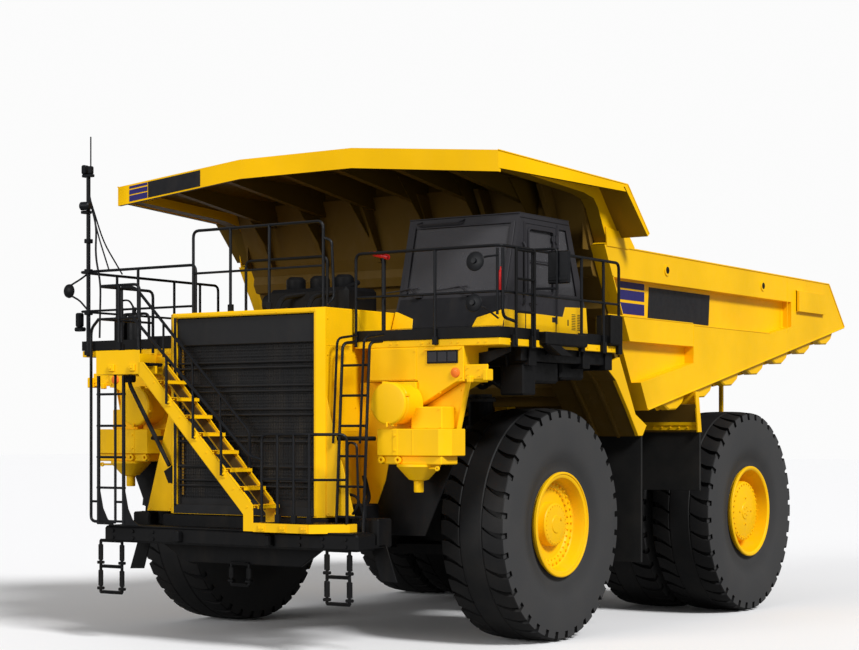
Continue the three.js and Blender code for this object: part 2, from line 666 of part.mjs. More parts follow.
// Standing guard of the platform, run on up the stairs as their outer handrail.
function platformRails() {
  const y = PLATFORM_Y + 32;
  const side = PLATFORM_Y - 30;
  const handrail = (x) => lineAt([-1364, 4197], [555, 2446], x);
  const posts = [[-808, 3105], [-363, 2660], [99, 2200]].map(
    ([x, foot]) => rod([x, side, foot], [x, side, handrail(x)], 20, 4),
  );
  const rail = pipe([[-1364, side, 4197], [560, side, 2446], [700, y, 2690]], 22);
  return join([guard([[700, y], [1050, y], [1440, y], [1786, -3075]], PLATFORM_Z + GAP, 2700, 2160), rail, ...posts]);
}

// Guard of the landing, the stairs' inner handrail and the hooped ladder below the landing.
function landingRails() {
  const inner = -2940;
  const handrail = (x) => lineAt([-1799, 4650], [171, 2732], x);
  const step = (x) => lineAt([-1235, 3664], [520, 1934], x);
  const posts = [-800, -335, 150].map((x) => rod([x, inner, step(x)], [x, inner, handrail(x)], 16, 4));
  const rail = pipe([[-2041, inner, 4650], [-1799, inner, 4650], [171, inner, 2732]], 20);
  const hoop = pipe([[-2041, -3376, 4220], [-2250, -3300, 4100], [-2250, -3300, 1640], [-2120, -3300, 1640]], 20);
  const guardRails = guard([[-1320, -3376], [-2041, -3376], [-2041, inner], [-2041, -2330]], 3800 + GAP, 4650, 4220);
  return join([guardRails, rail, ...posts, hoop, ladder(-2120, -1700, -3300, 1540, 3480, 6)]);
}

// Near-upright ladder between the bumper and the left deck.
function hoodLadder() {
  const foot = [-2870, 1513];
  const head = [-2735, 3840];
  const along = (t) => [foot[0] + (head[0] - foot[0]) * t, foot[1] + (head[1] - foot[1]) * t];
  const parts = [1470, 1880].map((x) => rod([x, ...foot], [x, ...head], 22, 6));
  for (let i = 0; i < 6; i += 1) {
    parts.push(rod([1470, ...along(0.08 + i * 0.16)], [1880, ...along(0.08 + i * 0.16)], 16, 6));
  }
  return join(parts);
}

// Upright sheet between the hood and the front tyre, below the lamp box.
function fender() {
  return plateY([
    [1275, 3365], [1275, 1690], [1490, 1690], [1547, 1450], [2260, 1450], [2677, 2318], [3000, 3345],
    [2905, 3345], [2255, 3045], [2245, 3045], [2245, 3365],
  ], -2110, -2070);
}

function mast() {
  const pole = rod([-3245, -2330, 3790], [-3245, -2330, 6300], 30, 8);
  const head = box(-3330, -3160, -2390, -2270, 6290, 6460);
  const aerial = rod([-3200, -2330, 6450], [-3200, -2330, 6850], 10, 6);
  const camera = box(-3330, -3190, -2420, -2310, 5800, 5960);
  const foot = box(-3290, -3200, -2300 - 60, DECK_FRONT - GAP, 3800, 3860);
  return join([pole, head, aerial, camera, foot]);
}

function sideMirror() {
  const arm = pipe([[3471, -1300, 4700], [3760, -1500, 4750]], 16);
  const glass = box(3600, 3920, -1530, -1480, 4560, 4990);
  return join([arm, glass]);
}

// ---------------------------------------------------------------- assembly

add('frame', frame(), BLACK);
add('front_bumper', bumper(), BLACK);
add('engine', engine(), STEEL);
add('transmission', transmission(), STEEL);
add('rear_axle', rearAxle(), BLACK);
add('fuel_tank', fuelTank(), BLACK);
add('hydraulic_tank', mirror(fuelTank()), BLACK);

const frontTyre = tyre(FRONT_WHEEL_X).translate([0, 0, TYRE_R]);
const frontRimPart = frontRim().translate([0, 0, TYRE_R]);
addPair('front_tyre', frontTyre, RUBBER);
addPair('front_rim', frontRimPart, YELLOW);
const rearOuter = tyre(REAR_OUTER_X).translate([0, WHEELBASE, TYRE_R]);
const rearInner = tyre(REAR_INNER_X).translate([0, WHEELBASE, TYRE_R]);
addPair('rear_outer_tyre', rearOuter, RUBBER);
addPair('rear_inner_tyre', rearInner, RUBBER);
addPair('rear_rim', rearRim().translate([0, WHEELBASE, TYRE_R]), YELLOW);

addPair('knuckle', knuckle(), BLACK);
add('tie_rod', tieRod(), STEEL);
addPair('hoist_barrel', hoistBarrel(), BLACK);
addPair('hoist_rod', hoistRod(), STEEL);

add('bed_floor', bedFloor(), YELLOW);
addPair('bed_side', bedSide(), YELLOW);
add('bed_front_wall', bedFrontWall(), YELLOW);
add('canopy', canopy(), YELLOW);
addPair('front_mudguard', frontMudguard(), YELLOW);
addPair('rear_mudguard', rearMudguard(), YELLOW);

add('hood', hood(), YELLOW);
add('grille', grille(), BLACK);
addPair('deck', deck(), YELLOW);
addPair('air_cleaner', airCleaner(), YELLOW);

add('cab', cab(), CAB_GREY);
add('cab_door', cabDoor(), CAB_GREY);
add('windscreen', windscreen(), GLASS);
add('rear_glass', rearGlass(), GLASS);
add('operator_seat', seat(2500), SEAT);
add('trainer_seat', seat(1800), SEAT);
add('dashboard', dashboard(), BLACK);

add('landing', landing(), YELLOW);
add('stairs', stairs(), YELLOW);
add('platform', platform(), YELLOW);
add('hood_ladder', hoodLadder(), BLACK);
addPair('fender', fender(), YELLOW);
addPair('deck_rails', deckRails(), BLACK);
add('landing_rails', landingRails(), BLACK);
add('hood_rails', hoodRails(), BLACK);
add('platform_rails', platformRails(), BLACK);
add('mast', mast(), BLACK);

export default truck;
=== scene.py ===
# Rigid mining dump truck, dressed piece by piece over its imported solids.
# Metres, +Z up, the truck faces -Y and its left side is +X.

import bpy
import bmesh
import math
from mathutils import Matrix, Vector


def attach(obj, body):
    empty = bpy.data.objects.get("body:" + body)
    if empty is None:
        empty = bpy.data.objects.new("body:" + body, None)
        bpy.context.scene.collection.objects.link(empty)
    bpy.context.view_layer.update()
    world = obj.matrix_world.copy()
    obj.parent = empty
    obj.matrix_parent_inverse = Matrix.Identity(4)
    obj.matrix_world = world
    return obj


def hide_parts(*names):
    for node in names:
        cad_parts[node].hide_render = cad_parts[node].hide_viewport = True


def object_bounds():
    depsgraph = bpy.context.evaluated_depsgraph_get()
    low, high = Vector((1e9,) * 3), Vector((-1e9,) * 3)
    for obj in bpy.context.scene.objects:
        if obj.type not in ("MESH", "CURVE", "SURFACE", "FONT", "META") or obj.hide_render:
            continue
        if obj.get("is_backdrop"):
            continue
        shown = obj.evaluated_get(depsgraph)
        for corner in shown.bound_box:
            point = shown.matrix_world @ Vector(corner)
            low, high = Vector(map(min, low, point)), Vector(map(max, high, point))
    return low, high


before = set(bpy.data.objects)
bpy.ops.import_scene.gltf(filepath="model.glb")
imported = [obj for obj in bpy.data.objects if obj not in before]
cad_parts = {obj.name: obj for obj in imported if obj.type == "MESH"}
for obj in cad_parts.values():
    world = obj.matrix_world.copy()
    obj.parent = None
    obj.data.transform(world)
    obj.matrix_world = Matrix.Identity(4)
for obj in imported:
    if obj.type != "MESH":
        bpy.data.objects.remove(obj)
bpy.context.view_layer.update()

# ---------------------------------------------------------------- studio
# A pale floor and backdrop, one large soft lamp high on the truck's left,
# a weaker one ahead of it, and an even sky for the shade.

FLOOR_REACH = 160
FLOOR_DROP = -0.002


def plugged(tree, kind, out=0, sockets=(), **settings):
    made = tree.nodes.new("ShaderNode" + kind)
    for setting, value in settings.items():
        setattr(made, setting, value)
    for socket, value in dict(sockets).items():
        if isinstance(value, bpy.types.NodeSocket):
            tree.links.new(value, made.inputs[socket])
        else:
            made.inputs[socket].default_value = value
    return made.outputs[out]


def mixed(tree, amount, *colours):
    first, second = (c if isinstance(c, bpy.types.NodeSocket) else (*c, 1) for c in colours)
    return plugged(tree, "Mix", 2, {"Factor": amount, 6: first, 7: second}, data_type="RGBA")


def calculated(tree, operation, *values):
    return plugged(tree, "Math", 0, enumerate(values), operation=operation)


def into_scene(name, data):
    placed = bpy.data.objects.new(name, data)
    bpy.context.collection.objects.link(placed)
    return placed


def studio_lamp(name, towards, strength, spread):
    lamp = bpy.data.lights.new(name, "SUN")
    lamp.energy = strength
    lamp.angle = math.radians(spread)
    into_scene(name, lamp).rotation_euler = Vector(towards).to_track_quat("-Z", "Y").to_euler()


lens_view = bpy.data.cameras.new("studio_camera")
lens_view.sensor_width = 36
lens_view.lens = 79.46
lens_view.shift_y = 0.1256
lens_view.clip_end = 500
camera = into_scene("studio_camera", lens_view)
camera.location = (15.49, -24.457, 2.73)
camera.rotation_euler = (math.radians(90), 0, math.radians(34.1))
bpy.context.scene.camera = camera
bpy.context.scene.view_settings.view_transform = "Standard"

floor_bm = bmesh.new()
bmesh.ops.create_grid(floor_bm, x_segments=1, y_segments=1, size=FLOOR_REACH)
floor_mesh = bpy.data.meshes.new("studio_floor")
floor_bm.to_mesh(floor_mesh)
floor_bm.free()
studio_floor = into_scene("studio_floor", floor_mesh)
studio_floor.location.z = FLOOR_DROP
studio_floor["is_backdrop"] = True
floor_paint = bpy.data.materials.new("studio_floor_white")
floor_paint.use_nodes = True
floor_tree = floor_paint.node_tree
floor_shader = floor_tree.nodes["Principled BSDF"].inputs
floor_shader["Roughness"].default_value = 0.9
seen = plugged(floor_tree, "LightPath", "Is Camera Ray")
shade = mixed(floor_tree, seen, (0.27, 0.27, 0.27), (0.93, 0.93, 0.94))
floor_tree.links.new(shade, floor_shader["Base Color"])
floor_mesh.materials.append(floor_paint)

sky = bpy.data.worlds.new("studio_sky")
bpy.context.scene.world = sky
sky.use_nodes = True
sky_glow = sky.node_tree.nodes["Background"].inputs
sky_glow["Color"].default_value = (1, 1, 1, 1)
rays = [plugged(sky.node_tree, "LightPath", kind) for kind in ("Is Camera Ray", "Is Transmission Ray")]
sky_level = plugged(sky.node_tree, "MapRange", 0, {
    "Value": calculated(sky.node_tree, "MAXIMUM", *rays), "To Min": 0.3, "To Max": 0.97})
sky.node_tree.links.new(sky_level, sky_glow["Strength"])

studio_lamp("left_high_lamp", (-1.0, 0.36, -0.85), 3.25, 14)
studio_lamp("front_lamp", (0.2, 1.0, -0.3), 1.35, 30)

# ---------------------------------------------------------------- paints
# Enamel sprayed over steel: a faint orange-peel surface, slow changes of tone
# from panel to panel, and a film of road dust that is thicker near the ground.

ROAD_DUST = (0.34, 0.25, 0.15)


def new_material(name):
    made = bpy.data.materials.new(name)
    made.use_nodes = True
    return made, made.node_tree, plugged(made.node_tree, "TexCoord", "Object")


def dress(tree, **inputs):
    shader = tree.nodes["Principled BSDF"].inputs
    for name, value in inputs.items():
        socket = shader[name.replace("_", " ")]
        if isinstance(value, bpy.types.NodeSocket):
            tree.links.new(value, socket)
        else:
            socket.default_value = value


def noise(tree, where, scale, detail):
    return plugged(tree, "TexNoise", "Fac", {"Vector": where, "Scale": scale, "Detail": detail})


def graded(tree, value, low, high, to_low, to_high):
    return plugged(tree, "MapRange", 0, {
        "Value": value, "From Min": low, "From Max": high, "To Min": to_low, "To Max": to_high})


def bumped(tree, height, strength, distance):
    return plugged(tree, "Bump", "Normal", {"Height": height, "Strength": strength, "Distance": distance})


def sprayed_enamel(name, colour, roughness, dust, metallic=0.0):
    paint, tree, where = new_material(name)
    deep = tuple(c * 0.86 for c in colour)
    tone = mixed(tree, graded(tree, noise(tree, where, 0.7, 3), 0.35, 0.65, 0, 1), deep, colour)
    height = plugged(tree, "SeparateXYZ", "Z", {"Vector": where})
    low_down = graded(tree, height, 3.6, 0.2, 0.25, 1.0)
    drawn_out = plugged(tree, "Mapping", 0, {"Vector": where, "Scale": (1, 1, 0.22)})
    streaks = graded(tree, noise(tree, drawn_out, 5.0, 5), 0.5, 0.78, 0.0, 1.0)
    film = calculated(tree, "MULTIPLY", calculated(tree, "MULTIPLY", low_down, streaks), dust)
    dress(tree, Metallic=metallic, Specular_IOR_Level=0.16, Base_Color=mixed(tree, film, tone, ROAD_DUST),
          Roughness=graded(tree, noise(tree, where, 14, 4), 0.3, 0.7, roughness - 0.06, roughness + 0.1),
          Normal=bumped(tree, noise(tree, where, 55, 2), 0.06, 0.004))
    return paint


def repaint(paint, names):
    for name in names.split():
        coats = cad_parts[name].data.materials
        coats.clear()
        coats.append(paint)


truck_yellow = sprayed_enamel("truck_yellow", (1.0, 0.56, 0.002), 0.4, 0.1)
chassis_black = sprayed_enamel("chassis_black", (0.004, 0.004, 0.0045), 0.5, 0.03)
rail_black = sprayed_enamel("rail_black", (0.006, 0.0065, 0.008), 0.4, 0.02)
cab_charcoal = sprayed_enamel("cab_charcoal", (0.029, 0.028, 0.032), 0.4, 0.03)
casting_grey = sprayed_enamel("casting_grey", (0.05, 0.05, 0.05), 0.55, 0.3)
rod_steel = sprayed_enamel("rod_steel", (0.55, 0.55, 0.56), 0.25, 0.08, metallic=1.0)

repaint(truck_yellow, """left_bed_side right_bed_side hood left_deck right_deck left_air_cleaner
    right_air_cleaner landing stairs platform left_fender right_fender left_front_rim right_front_rim
    left_rear_rim right_rear_rim""")
repaint(chassis_black, """frame front_bumper rear_axle fuel_tank hydraulic_tank left_knuckle
    right_knuckle left_hoist_barrel right_hoist_barrel grille dashboard""")
repaint(rail_black, """left_deck_rails right_deck_rails landing_rails hood_rails hood_ladder
    platform_rails mast""")
repaint(cab_charcoal, "cab cab_door operator_seat trainer_seat")
repaint(casting_grey, "engine transmission")
repaint(rod_steel, "tie_rod left_hoist_rod right_hoist_rod")

# ---------------------------------------------------------------- tyres
# Radial rock tyres: a plain band round the middle of the tread, curved grooves
# cut from there out over both shoulders, and a smooth sidewall moulded in one.

AXLE_Y = -2.927
AXLE_Z = 1.53
REAR_AXLE_Y = AXLE_Y + 5.35
SIDES = (("left", 1), ("right", -1))
TREAD_GROOVES = 36
GROOVE_PITCH = 2 * math.pi / TREAD_GROOVES
GROOVE_ANGLE = 0.021
GROOVE_DEPTH = 0.055
NOTCH_DEPTH = 0.035
BAND_EDGE = 0.17
SHOULDER_X = 0.44
TREAD_FOOT = 1.3


def moulded_rubber(name, tread, wall, dusty):
    rubber, tree, where = new_material(name)
    # Sideways faces get the lighter wall colour and all other faces the dark tread colour. This is painted
    # shade on the tread and painted light on the sidewall, chosen by the normal.
    facing = plugged(tree, "TexCoord", "Normal")
    sidewall_painted_light_mask = calculated(tree, "ABSOLUTE", plugged(tree, "SeparateXYZ", "X", {"Vector": facing}))
    tone = mixed(tree, graded(tree, sidewall_painted_light_mask, 0.86, 0.99, 0, 1), tread, wall)
    worn = graded(tree, noise(tree, where, 2.2, 6), 0.42, 0.75, 0, dusty)
    grain = noise(tree, where, 90, 3)
    dress(tree, Specular_IOR_Level=0.3, Base_Color=mixed(tree, worn, tone, (0.13, 0.11, 0.09)),
          Roughness=graded(tree, grain, 0, 1, 0.55, 0.8), Normal=bumped(tree, grain, 0.15, 0.004))
    return rubber


def finished(name, bm, paint, *stands_for, body="chassis", slot=None, crease=32):
    bmesh.ops.recalc_face_normals(bm, faces=bm.faces)
    mesh = bpy.data.meshes.new(name)
    bm.to_mesh(mesh)
    bm.free()
    mesh.materials.append(paint)
    mesh.shade_smooth()
    mesh.set_sharp_from_angle(angle=math.radians(crease))
    piece = into_scene(name, mesh)
    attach(piece, body)
    if stands_for:
        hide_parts(*stands_for)
    return piece


def closed_ring(bm, section):
    corners = [bm.verts.new((x, 0, r)) for x, r in section]
    return [bm.edges.new(pair) for pair in zip(corners, corners[1:] + corners[:1])]


def rolled_tyre():
    half = [
        (0.0, 1.529), (0.15, 1.527), (0.165, 1.513), (0.18, 1.526), (0.26, 1.523), (0.35, 1.514), (0.41, 1.508),
        (0.452, 1.499), (0.46, 1.488), (0.463, 1.44), (0.468, 1.4), (0.4735, 1.3), (0.4745, 1.2), (0.4715, 1.1),
        (0.461, 1.0), (0.443, 0.92), (0.418, 0.84), (0.394, 0.77), (0.383, 0.715), (0.3815, 0.655),
    ]
    bm = bmesh.new()
    ring = closed_ring(bm, half + [(-x, r) for x, r in reversed(half[1:])])
    about = {"cent": (0, 0, 0), "axis": (1, 0, 0)}
    wide = bmesh.ops.spin(bm, geom=ring, angle=GROOVE_PITCH - GROOVE_ANGLE, steps=3, **about)
    last = [g for g in wide["geom_last"] if isinstance(g, bmesh.types.BMEdge)]
    way = -math.copysign(1, last[0].verts[0].co.y)
    known = set(bm.faces)
    bmesh.ops.spin(bm, geom=last, angle=GROOVE_ANGLE, steps=1, **about)
    middles = {f: f.calc_center_median() for f in bm.faces if f not in known}
    cut = [f for f, m in middles.items() if abs(m.x) > BAND_EDGE + 0.002 and math.hypot(m.y, m.z) > 1.41]
    sunk = bmesh.ops.extrude_face_region(bm, geom=cut)
    for vert in [g for g in sunk["geom"] if isinstance(g, bmesh.types.BMVert)]:
        r = math.hypot(vert.co.y, vert.co.z)
        kept = r - (GROOVE_DEPTH if abs(vert.co.x) < SHOULDER_X else NOTCH_DEPTH)
        vert.co = Vector((vert.co.x * (1 if r > 1.5 else 0.93), vert.co.y * kept / r, vert.co.z * kept / r))
    bmesh.ops.delete(bm, geom=[f for f in cut if f.is_valid], context="FACES_ONLY")
    for vert in bm.verts:
        r = math.hypot(vert.co.y, vert.co.z)
        if r > TREAD_FOOT and abs(vert.co.x) > BAND_EDGE:
            outer = min(1.0, (abs(vert.co.x) - BAND_EDGE) / 0.27)
            turned = abs(math.atan2(vert.co.y, vert.co.z))
            lean = 0.075 * math.sin(outer * math.pi / 2) * math.copysign(1, vert.co.x)
            if turned < 0.001 or turned > GROOVE_PITCH - 0.001:
                lean += way * 0.013 * outer
            elif turned > GROOVE_PITCH - GROOVE_ANGLE - 0.001:
                lean -= way * 0.02 * outer
            vert.co = Matrix.Rotation(lean * min(1.0, (r - TREAD_FOOT) / 0.1), 3, "X") @ vert.co
    bmesh.ops.spin(bm, geom=bm.verts[:] + bm.edges[:] + bm.faces[:], angle=2 * math.pi - GROOVE_PITCH,
                   steps=TREAD_GROOVES - 1, use_duplicate=True, **about)
    bmesh.ops.remove_doubles(bm, verts=bm.verts, dist=0.0004)
    return bm


def wheel_place(bm, x, y):
    bmesh.ops.translate(bm, verts=bm.verts, vec=(x, y, AXLE_Z))
    return bm


# The dark tread colour is painted shade; the lighter sidewall colour is painted light.
tyre_rubber = moulded_rubber("tyre_rubber", (0.0055, 0.0055, 0.006), (0.041, 0.041, 0.042), 0.06)
one_tyre = rolled_tyre()
tyre_stock = bpy.data.meshes.new("tyre_stock")
one_tyre.to_mesh(tyre_stock)
one_tyre.free()
for node, x, y, body in (
    ("left_front_tyre", 2.56, AXLE_Y, "front_left_wheel"),
    ("right_front_tyre", -2.56, AXLE_Y, "front_right_wheel"),
    ("left_rear_outer_tyre", 2.79, REAR_AXLE_Y, "rear_left_wheels"),
    ("left_rear_inner_tyre", 1.71, REAR_AXLE_Y, "rear_left_wheels"),
    ("right_rear_outer_tyre", -2.79, REAR_AXLE_Y, "rear_right_wheels"),
    ("right_rear_inner_tyre", -1.71, REAR_AXLE_Y, "rear_right_wheels"),
):
    bm = bmesh.new()
    bm.from_mesh(tyre_stock)
    finished(node.replace("_tyre", "_rock_tyre"), wheel_place(bm, x, y), tyre_rubber, node, body=body)
bpy.data.meshes.remove(tyre_stock)

# ---------------------------------------------------------------- rims
# Welded steel rims in yellow enamel: a deep tapered well, a flat disc with its
# ring of wheel nuts, and a hub cover held by a closer ring of small bolts.

FORWARD, BACK, LEFT, UP = (0, -1, 0), (0, 1, 0), (1, 0, 0), (0, 0, 1)


def turned_steel(section, steps):
    bm = bmesh.new()
    ring = closed_ring(bm, section)
    bmesh.ops.spin(bm, geom=ring, cent=(0, 0, 0), axis=(1, 0, 0), angle=2 * math.pi, steps=steps,
                   use_merge=True)
    return bm


def bolt(bm, place, out, across, height):
    turn = Vector(out).to_track_quat("Z", "Y").to_matrix().to_4x4()
    middle = Vector(place) + Vector(out).normalized() * height / 2
    bmesh.ops.create_cone(bm, cap_ends=True, segments=6, radius1=across / 2, radius2=across / 2 * 0.92,
                          depth=height, matrix=Matrix.Translation(middle) @ turn)


def around(count, radius):
    turns = [2 * math.pi * i / count for i in range(count)]
    return [(radius * math.cos(turn), radius * math.sin(turn)) for turn in turns]


def bolt_ring(bm, x, radius, count, across, height):
    for y, z in around(count, radius):
        bolt(bm, (x, y, z), LEFT, across, height)


def front_rim():
    bm = turned_steel([(-0.15, 0.21), (-0.15, 0.33), (0.2, 0.33), (0.215, 0.585), (-0.36, 0.6), (-0.395, 0.625),
                       (-0.395, 0.69), (-0.383, 0.69), (-0.38, 0.648), (0.42, 0.648), (0.43, 0.69),
                       (0.46, 0.69), (0.468, 0.678), (0.468, 0.662), (0.455, 0.654), (0.457, 0.632),
                       (0.447, 0.612), (0.42, 0.602), (0.4, 0.59), (0.3, 0.578), (0.284, 0.57), (0.276, 0.56),
                       (0.274, 0.5), (0.262, 0.48), (0.24, 0.462), (0.235, 0.295), (0.25, 0.288), (0.34, 0.282),
                       (0.352, 0.272), (0.358, 0.255), (0.362, 0.12), (0.374, 0.11), (0.377, 0.002),
                       (0.06, 0.002), (0.06, 0.21)], 96)
    bolt_ring(bm, 0.274, 0.53, 34, 0.034, 0.024)
    bolt_ring(bm, 0.255, 0.475, 34, 0.024, 0.02)
    bolt_ring(bm, 0.354, 0.25, 26, 0.018, 0.012)
    bolt(bm, (0.362, 0.1, 0.07), LEFT, 0.05, 0.03)
    return bm


def rear_rim():
    bm = turned_steel([(-1.41, 0.25), (-1.41, 0.4), (-1.14, 0.4), (-1.1, 0.6), (-1.44, 0.605), (-1.475, 0.62),
                       (-1.475, 0.69), (-1.463, 0.69), (-1.46, 0.642), (-0.7, 0.642), (-0.697, 0.69),
                       (-0.383, 0.69), (-0.38, 0.642), (0.42, 0.648), (0.43, 0.69), (0.458, 0.69),
                       (0.468, 0.678), (0.47, 0.66), (0.462, 0.64), (0.45, 0.628), (0.1, 0.6), (0.02, 0.575),
                       (0.0, 0.55), (-0.01, 0.49), (0.02, 0.465), (0.33, 0.455), (0.352, 0.445), (0.362, 0.425),
                       (0.368, 0.13), (0.38, 0.12), (0.383, 0.002), (-0.04, 0.002), (-0.04, 0.25)], 96)
    bolt_ring(bm, 0.36, 0.415, 30, 0.026, 0.018)
    bolt_ring(bm, 0.365, 0.2, 4, 0.03, 0.02)
    bolt_ring(bm, 0.38, 0.06, 5, 0.022, 0.014)
    return bm


for side, sign in SIDES:
    for end, make, x, y in (("front", front_rim, 2.56, AXLE_Y), ("rear", rear_rim, 2.79, REAR_AXLE_Y)):
        bm = make()
        if sign < 0:
            bmesh.ops.rotate(bm, verts=bm.verts, matrix=Matrix.Rotation(math.pi, 3, "Z"))
        body = f"front_{side}_wheel" if end == "front" else f"rear_{side}_wheels"
        finished(f"{side}_{end}_rim_well", wheel_place(bm, sign * x, y), truck_yellow, f"{side}_{end}_rim",
                 body=body)

# ---------------------------------------------------------------- bumper
# Heavy boxed steel beam across the nose with a sloped skid guard below it,
# a sill above it, and three hanging steps of round bar with flat treads.


def spot(x, y, z):
    return Vector((x, AXLE_Y + y, z))


def on_x(x, *pairs):
    return [(x, y, z) for y, z in pairs]


def on_y(y, *pairs):
    return [(x, y, z) for x, z in pairs]


def on_z(z, *pairs):
    return [(x, y, z) for x, y in pairs]


def chamfered(bm, rims, width):
    bmesh.ops.bevel(bm, geom=list(dict.fromkeys(rims)), offset=width, segments=1, profile=0.5,
                    affect="EDGES", material=-1)


def plate(bm, x0, x1, y0, y1, z0, z1, edge=0.006):
    low, high = spot(x0, y0, z0), spot(x1, y1, z1)
    size = high - low
    place = Matrix.Translation((low + high) / 2) @ Matrix.Diagonal((*size, 1))
    made = bmesh.ops.create_cube(bm, size=1, matrix=place)
    chamfered(bm, [e for v in made["verts"] for e in v.link_edges], min(edge, min(size) * 0.3))


def plates(bm, rows):
    for row in rows:
        plate(bm, *row)


def grown_parts(grown, kind):
    return [g for g in grown["geom"] if isinstance(g, kind)]


def cut_sheet(bm, corners, through, edge=0.004):
    face = bm.faces.new([bm.verts.new(spot(*c)) for c in corners])
    grown = bmesh.ops.extrude_face_region(bm, geom=[face])
    bmesh.ops.translate(bm, verts=grown_parts(grown, bmesh.types.BMVert), vec=Vector(through))
    if edge:
        chamfered(bm, [e for f in [face] + grown_parts(grown, bmesh.types.BMFace) for e in f.edges], edge)


def rounded_route(stops, bend):
    path = [stops[0]]
    for before, corner, after in zip(stops, stops[1:], stops[2:]):
        back, on = before - corner, after - corner
        reach = min(bend, back.length * 0.45, on.length * 0.45)
        start, end = corner + back.normalized() * reach, corner + on.normalized() * reach
        for t in (0, 0.25, 0.5, 0.75, 1):
            path.append(start * (1 - t) ** 2 + corner * (2 * t * (1 - t)) + end * t ** 2)
    return path + [stops[-1]]


def tube(bm, route, radius, bend=0.09, sides=10):
    path = rounded_route([spot(*stop) for stop in route], bend)
    way = (path[1] - path[0]).normalized()
    turn = way.to_track_quat("Z", "Y").to_matrix().to_4x4()
    made = bmesh.ops.create_circle(bm, cap_ends=True, segments=sides, radius=radius,
                                   matrix=Matrix.Translation(path[0]) @ turn)
    face = made["verts"][0].link_faces[0]
    for i, (here, there) in enumerate(zip(path, path[1:])):
        ahead = (there - here).normalized()
        if i + 2 < len(path):
            ahead = (ahead + (path[i + 2] - there).normalized()).normalized()
        grown = bmesh.ops.extrude_face_region(bm, geom=[face])
        ring = grown_parts(grown, bmesh.types.BMVert)
        face = grown_parts(grown, bmesh.types.BMFace)[0]
        bmesh.ops.rotate(bm, verts=ring, cent=here, matrix=way.rotation_difference(ahead).to_matrix())
        bmesh.ops.translate(bm, verts=ring, vec=there - here)
        way = ahead


def hanging_step(bm, x, top, bottom, y, rungs):
    pitch = (top - bottom) / rungs
    for rail in x:
        for i in range(rungs):
            low = bottom + i * pitch
            plate(bm, rail - 0.04, rail + 0.04, y - 0.014, y + 0.014, low + 0.08, low + pitch - 0.05, 0.012)
            tube(bm, [(rail, y, low), (rail, y, low + pitch)], 0.02, 0, 8)
            plate(bm, rail - 0.045, rail + 0.045, y - 0.035, y + 0.035, low + 0.03, low + 0.07, 0.01)
    for i in range(rungs + 1):
        z = bottom + i * pitch
        tube(bm, [(x[0], y, z), (x[1], y, z)], 0.022, 0, 8)
        plate(bm, x[0] + 0.03, x[1] - 0.03, y - 0.035, y + 0.035, z + 0.008, z + 0.022, 0.004)


bm = bmesh.new()
plates(bm, [
    (-2.07, 2.07, -3.25, -2.851, 1.3, 1.51, 0.03),
    (-2.0, 2.0, -3.24, -2.88, 1.502, 1.522, 0.004),
    (-1.35, 1.35, -2.895, -2.852, 1.5, 1.668, 0.01),
])
cut_sheet(bm, [(-1.35, -2.95, 1.31), (-0.95, -2.92, 1.06), (0.95, -2.92, 1.06), (1.35, -2.95, 1.31)],
          (0, 0.06, 0), 0.01)
for x in (-1.9, -1.55, -1.2, 1.2, 1.55, 1.9):
    bolt(bm, spot(x, -3.25, 1.36), FORWARD, 0.05, 0.02)
    bolt(bm, spot(x, -3.25, 1.45), FORWARD, 0.05, 0.02)
for x in (-0.75, 0.75):
    plate(bm, x - 0.05, x + 0.05, -3.34, -3.24, 1.33, 1.48, 0.02)
hanging_step(bm, (1.58, 1.92), 1.31, 0.66, -3.2, 2)
hanging_step(bm, (-2.17, -1.79), 1.31, 0.63, -3.2, 2)
for side in (-1, 1):
    flap = ((2.04, 1.34), (1.84, 1.34), (1.84, 1.276), (1.955, 0.912), (2.2, 0.902))
    cut_sheet(bm, [(side * x, -2.61, z) for x, z in flap], (0, 0.02, 0), 0.002)
    plate(bm, *sorted((side * 1.86, side * 2.02)), -2.87, -2.6, 1.32, 1.36, 0.006)
hanging_step(bm, (-0.15, 0.14), 1.07, 0.8, -2.93, 1)
finished("nose_bumper", bm, chassis_black, "front_bumper")

# ---------------------------------------------------------------- grille
# Blank black header over a welded wire mesh, with twin cross tubes in front of
# the mesh and the dark radiator core behind it, set into the yellow surround.

grille_black = sprayed_enamel("grille_black", (0.017, 0.017, 0.018), 0.4, 0.05)
bm = bmesh.new()
plates(bm, [
    (-1.13, 1.13, -2.86, -2.79, 3.86, 4.215, 0.01),
    (-1.13, 1.13, -2.82, -2.79, 1.765, 1.9, 0.008),
    (-1.168, 1.14, -2.891, -2.885, 1.685, 1.8, 0.002),
    (-1.168, -1.12, -2.891, -2.885, 1.78, 4.226, 0.002),
])
for x in (-1.12, 1.1):
    plate(bm, x, x + 0.02, -2.85, -2.79, 1.77, 3.87, 0.003)
for i in range(1, 56):
    x = -1.13 + 2.26 * i / 56
    plate(bm, x - 0.003, x + 0.003, -2.826, -2.82, 1.88, 3.87, 0.001)
for i in range(1, 50):
    z = 1.88 + 1.99 * i / 50
    plate(bm, -1.12, 1.12, -2.832, -2.826, z - 0.003, z + 0.003, 0.001)
for z in (2.05, 2.12, 2.3, 2.62, 2.69, 2.96, 3.03, 3.26, 3.33, 3.56, 3.63):
    tube(bm, [(-1.12, -2.846, z), (1.12, -2.846, z)], 0.014, 0, 8)
finished("grille_mesh_guard", bm, grille_black, "grille")

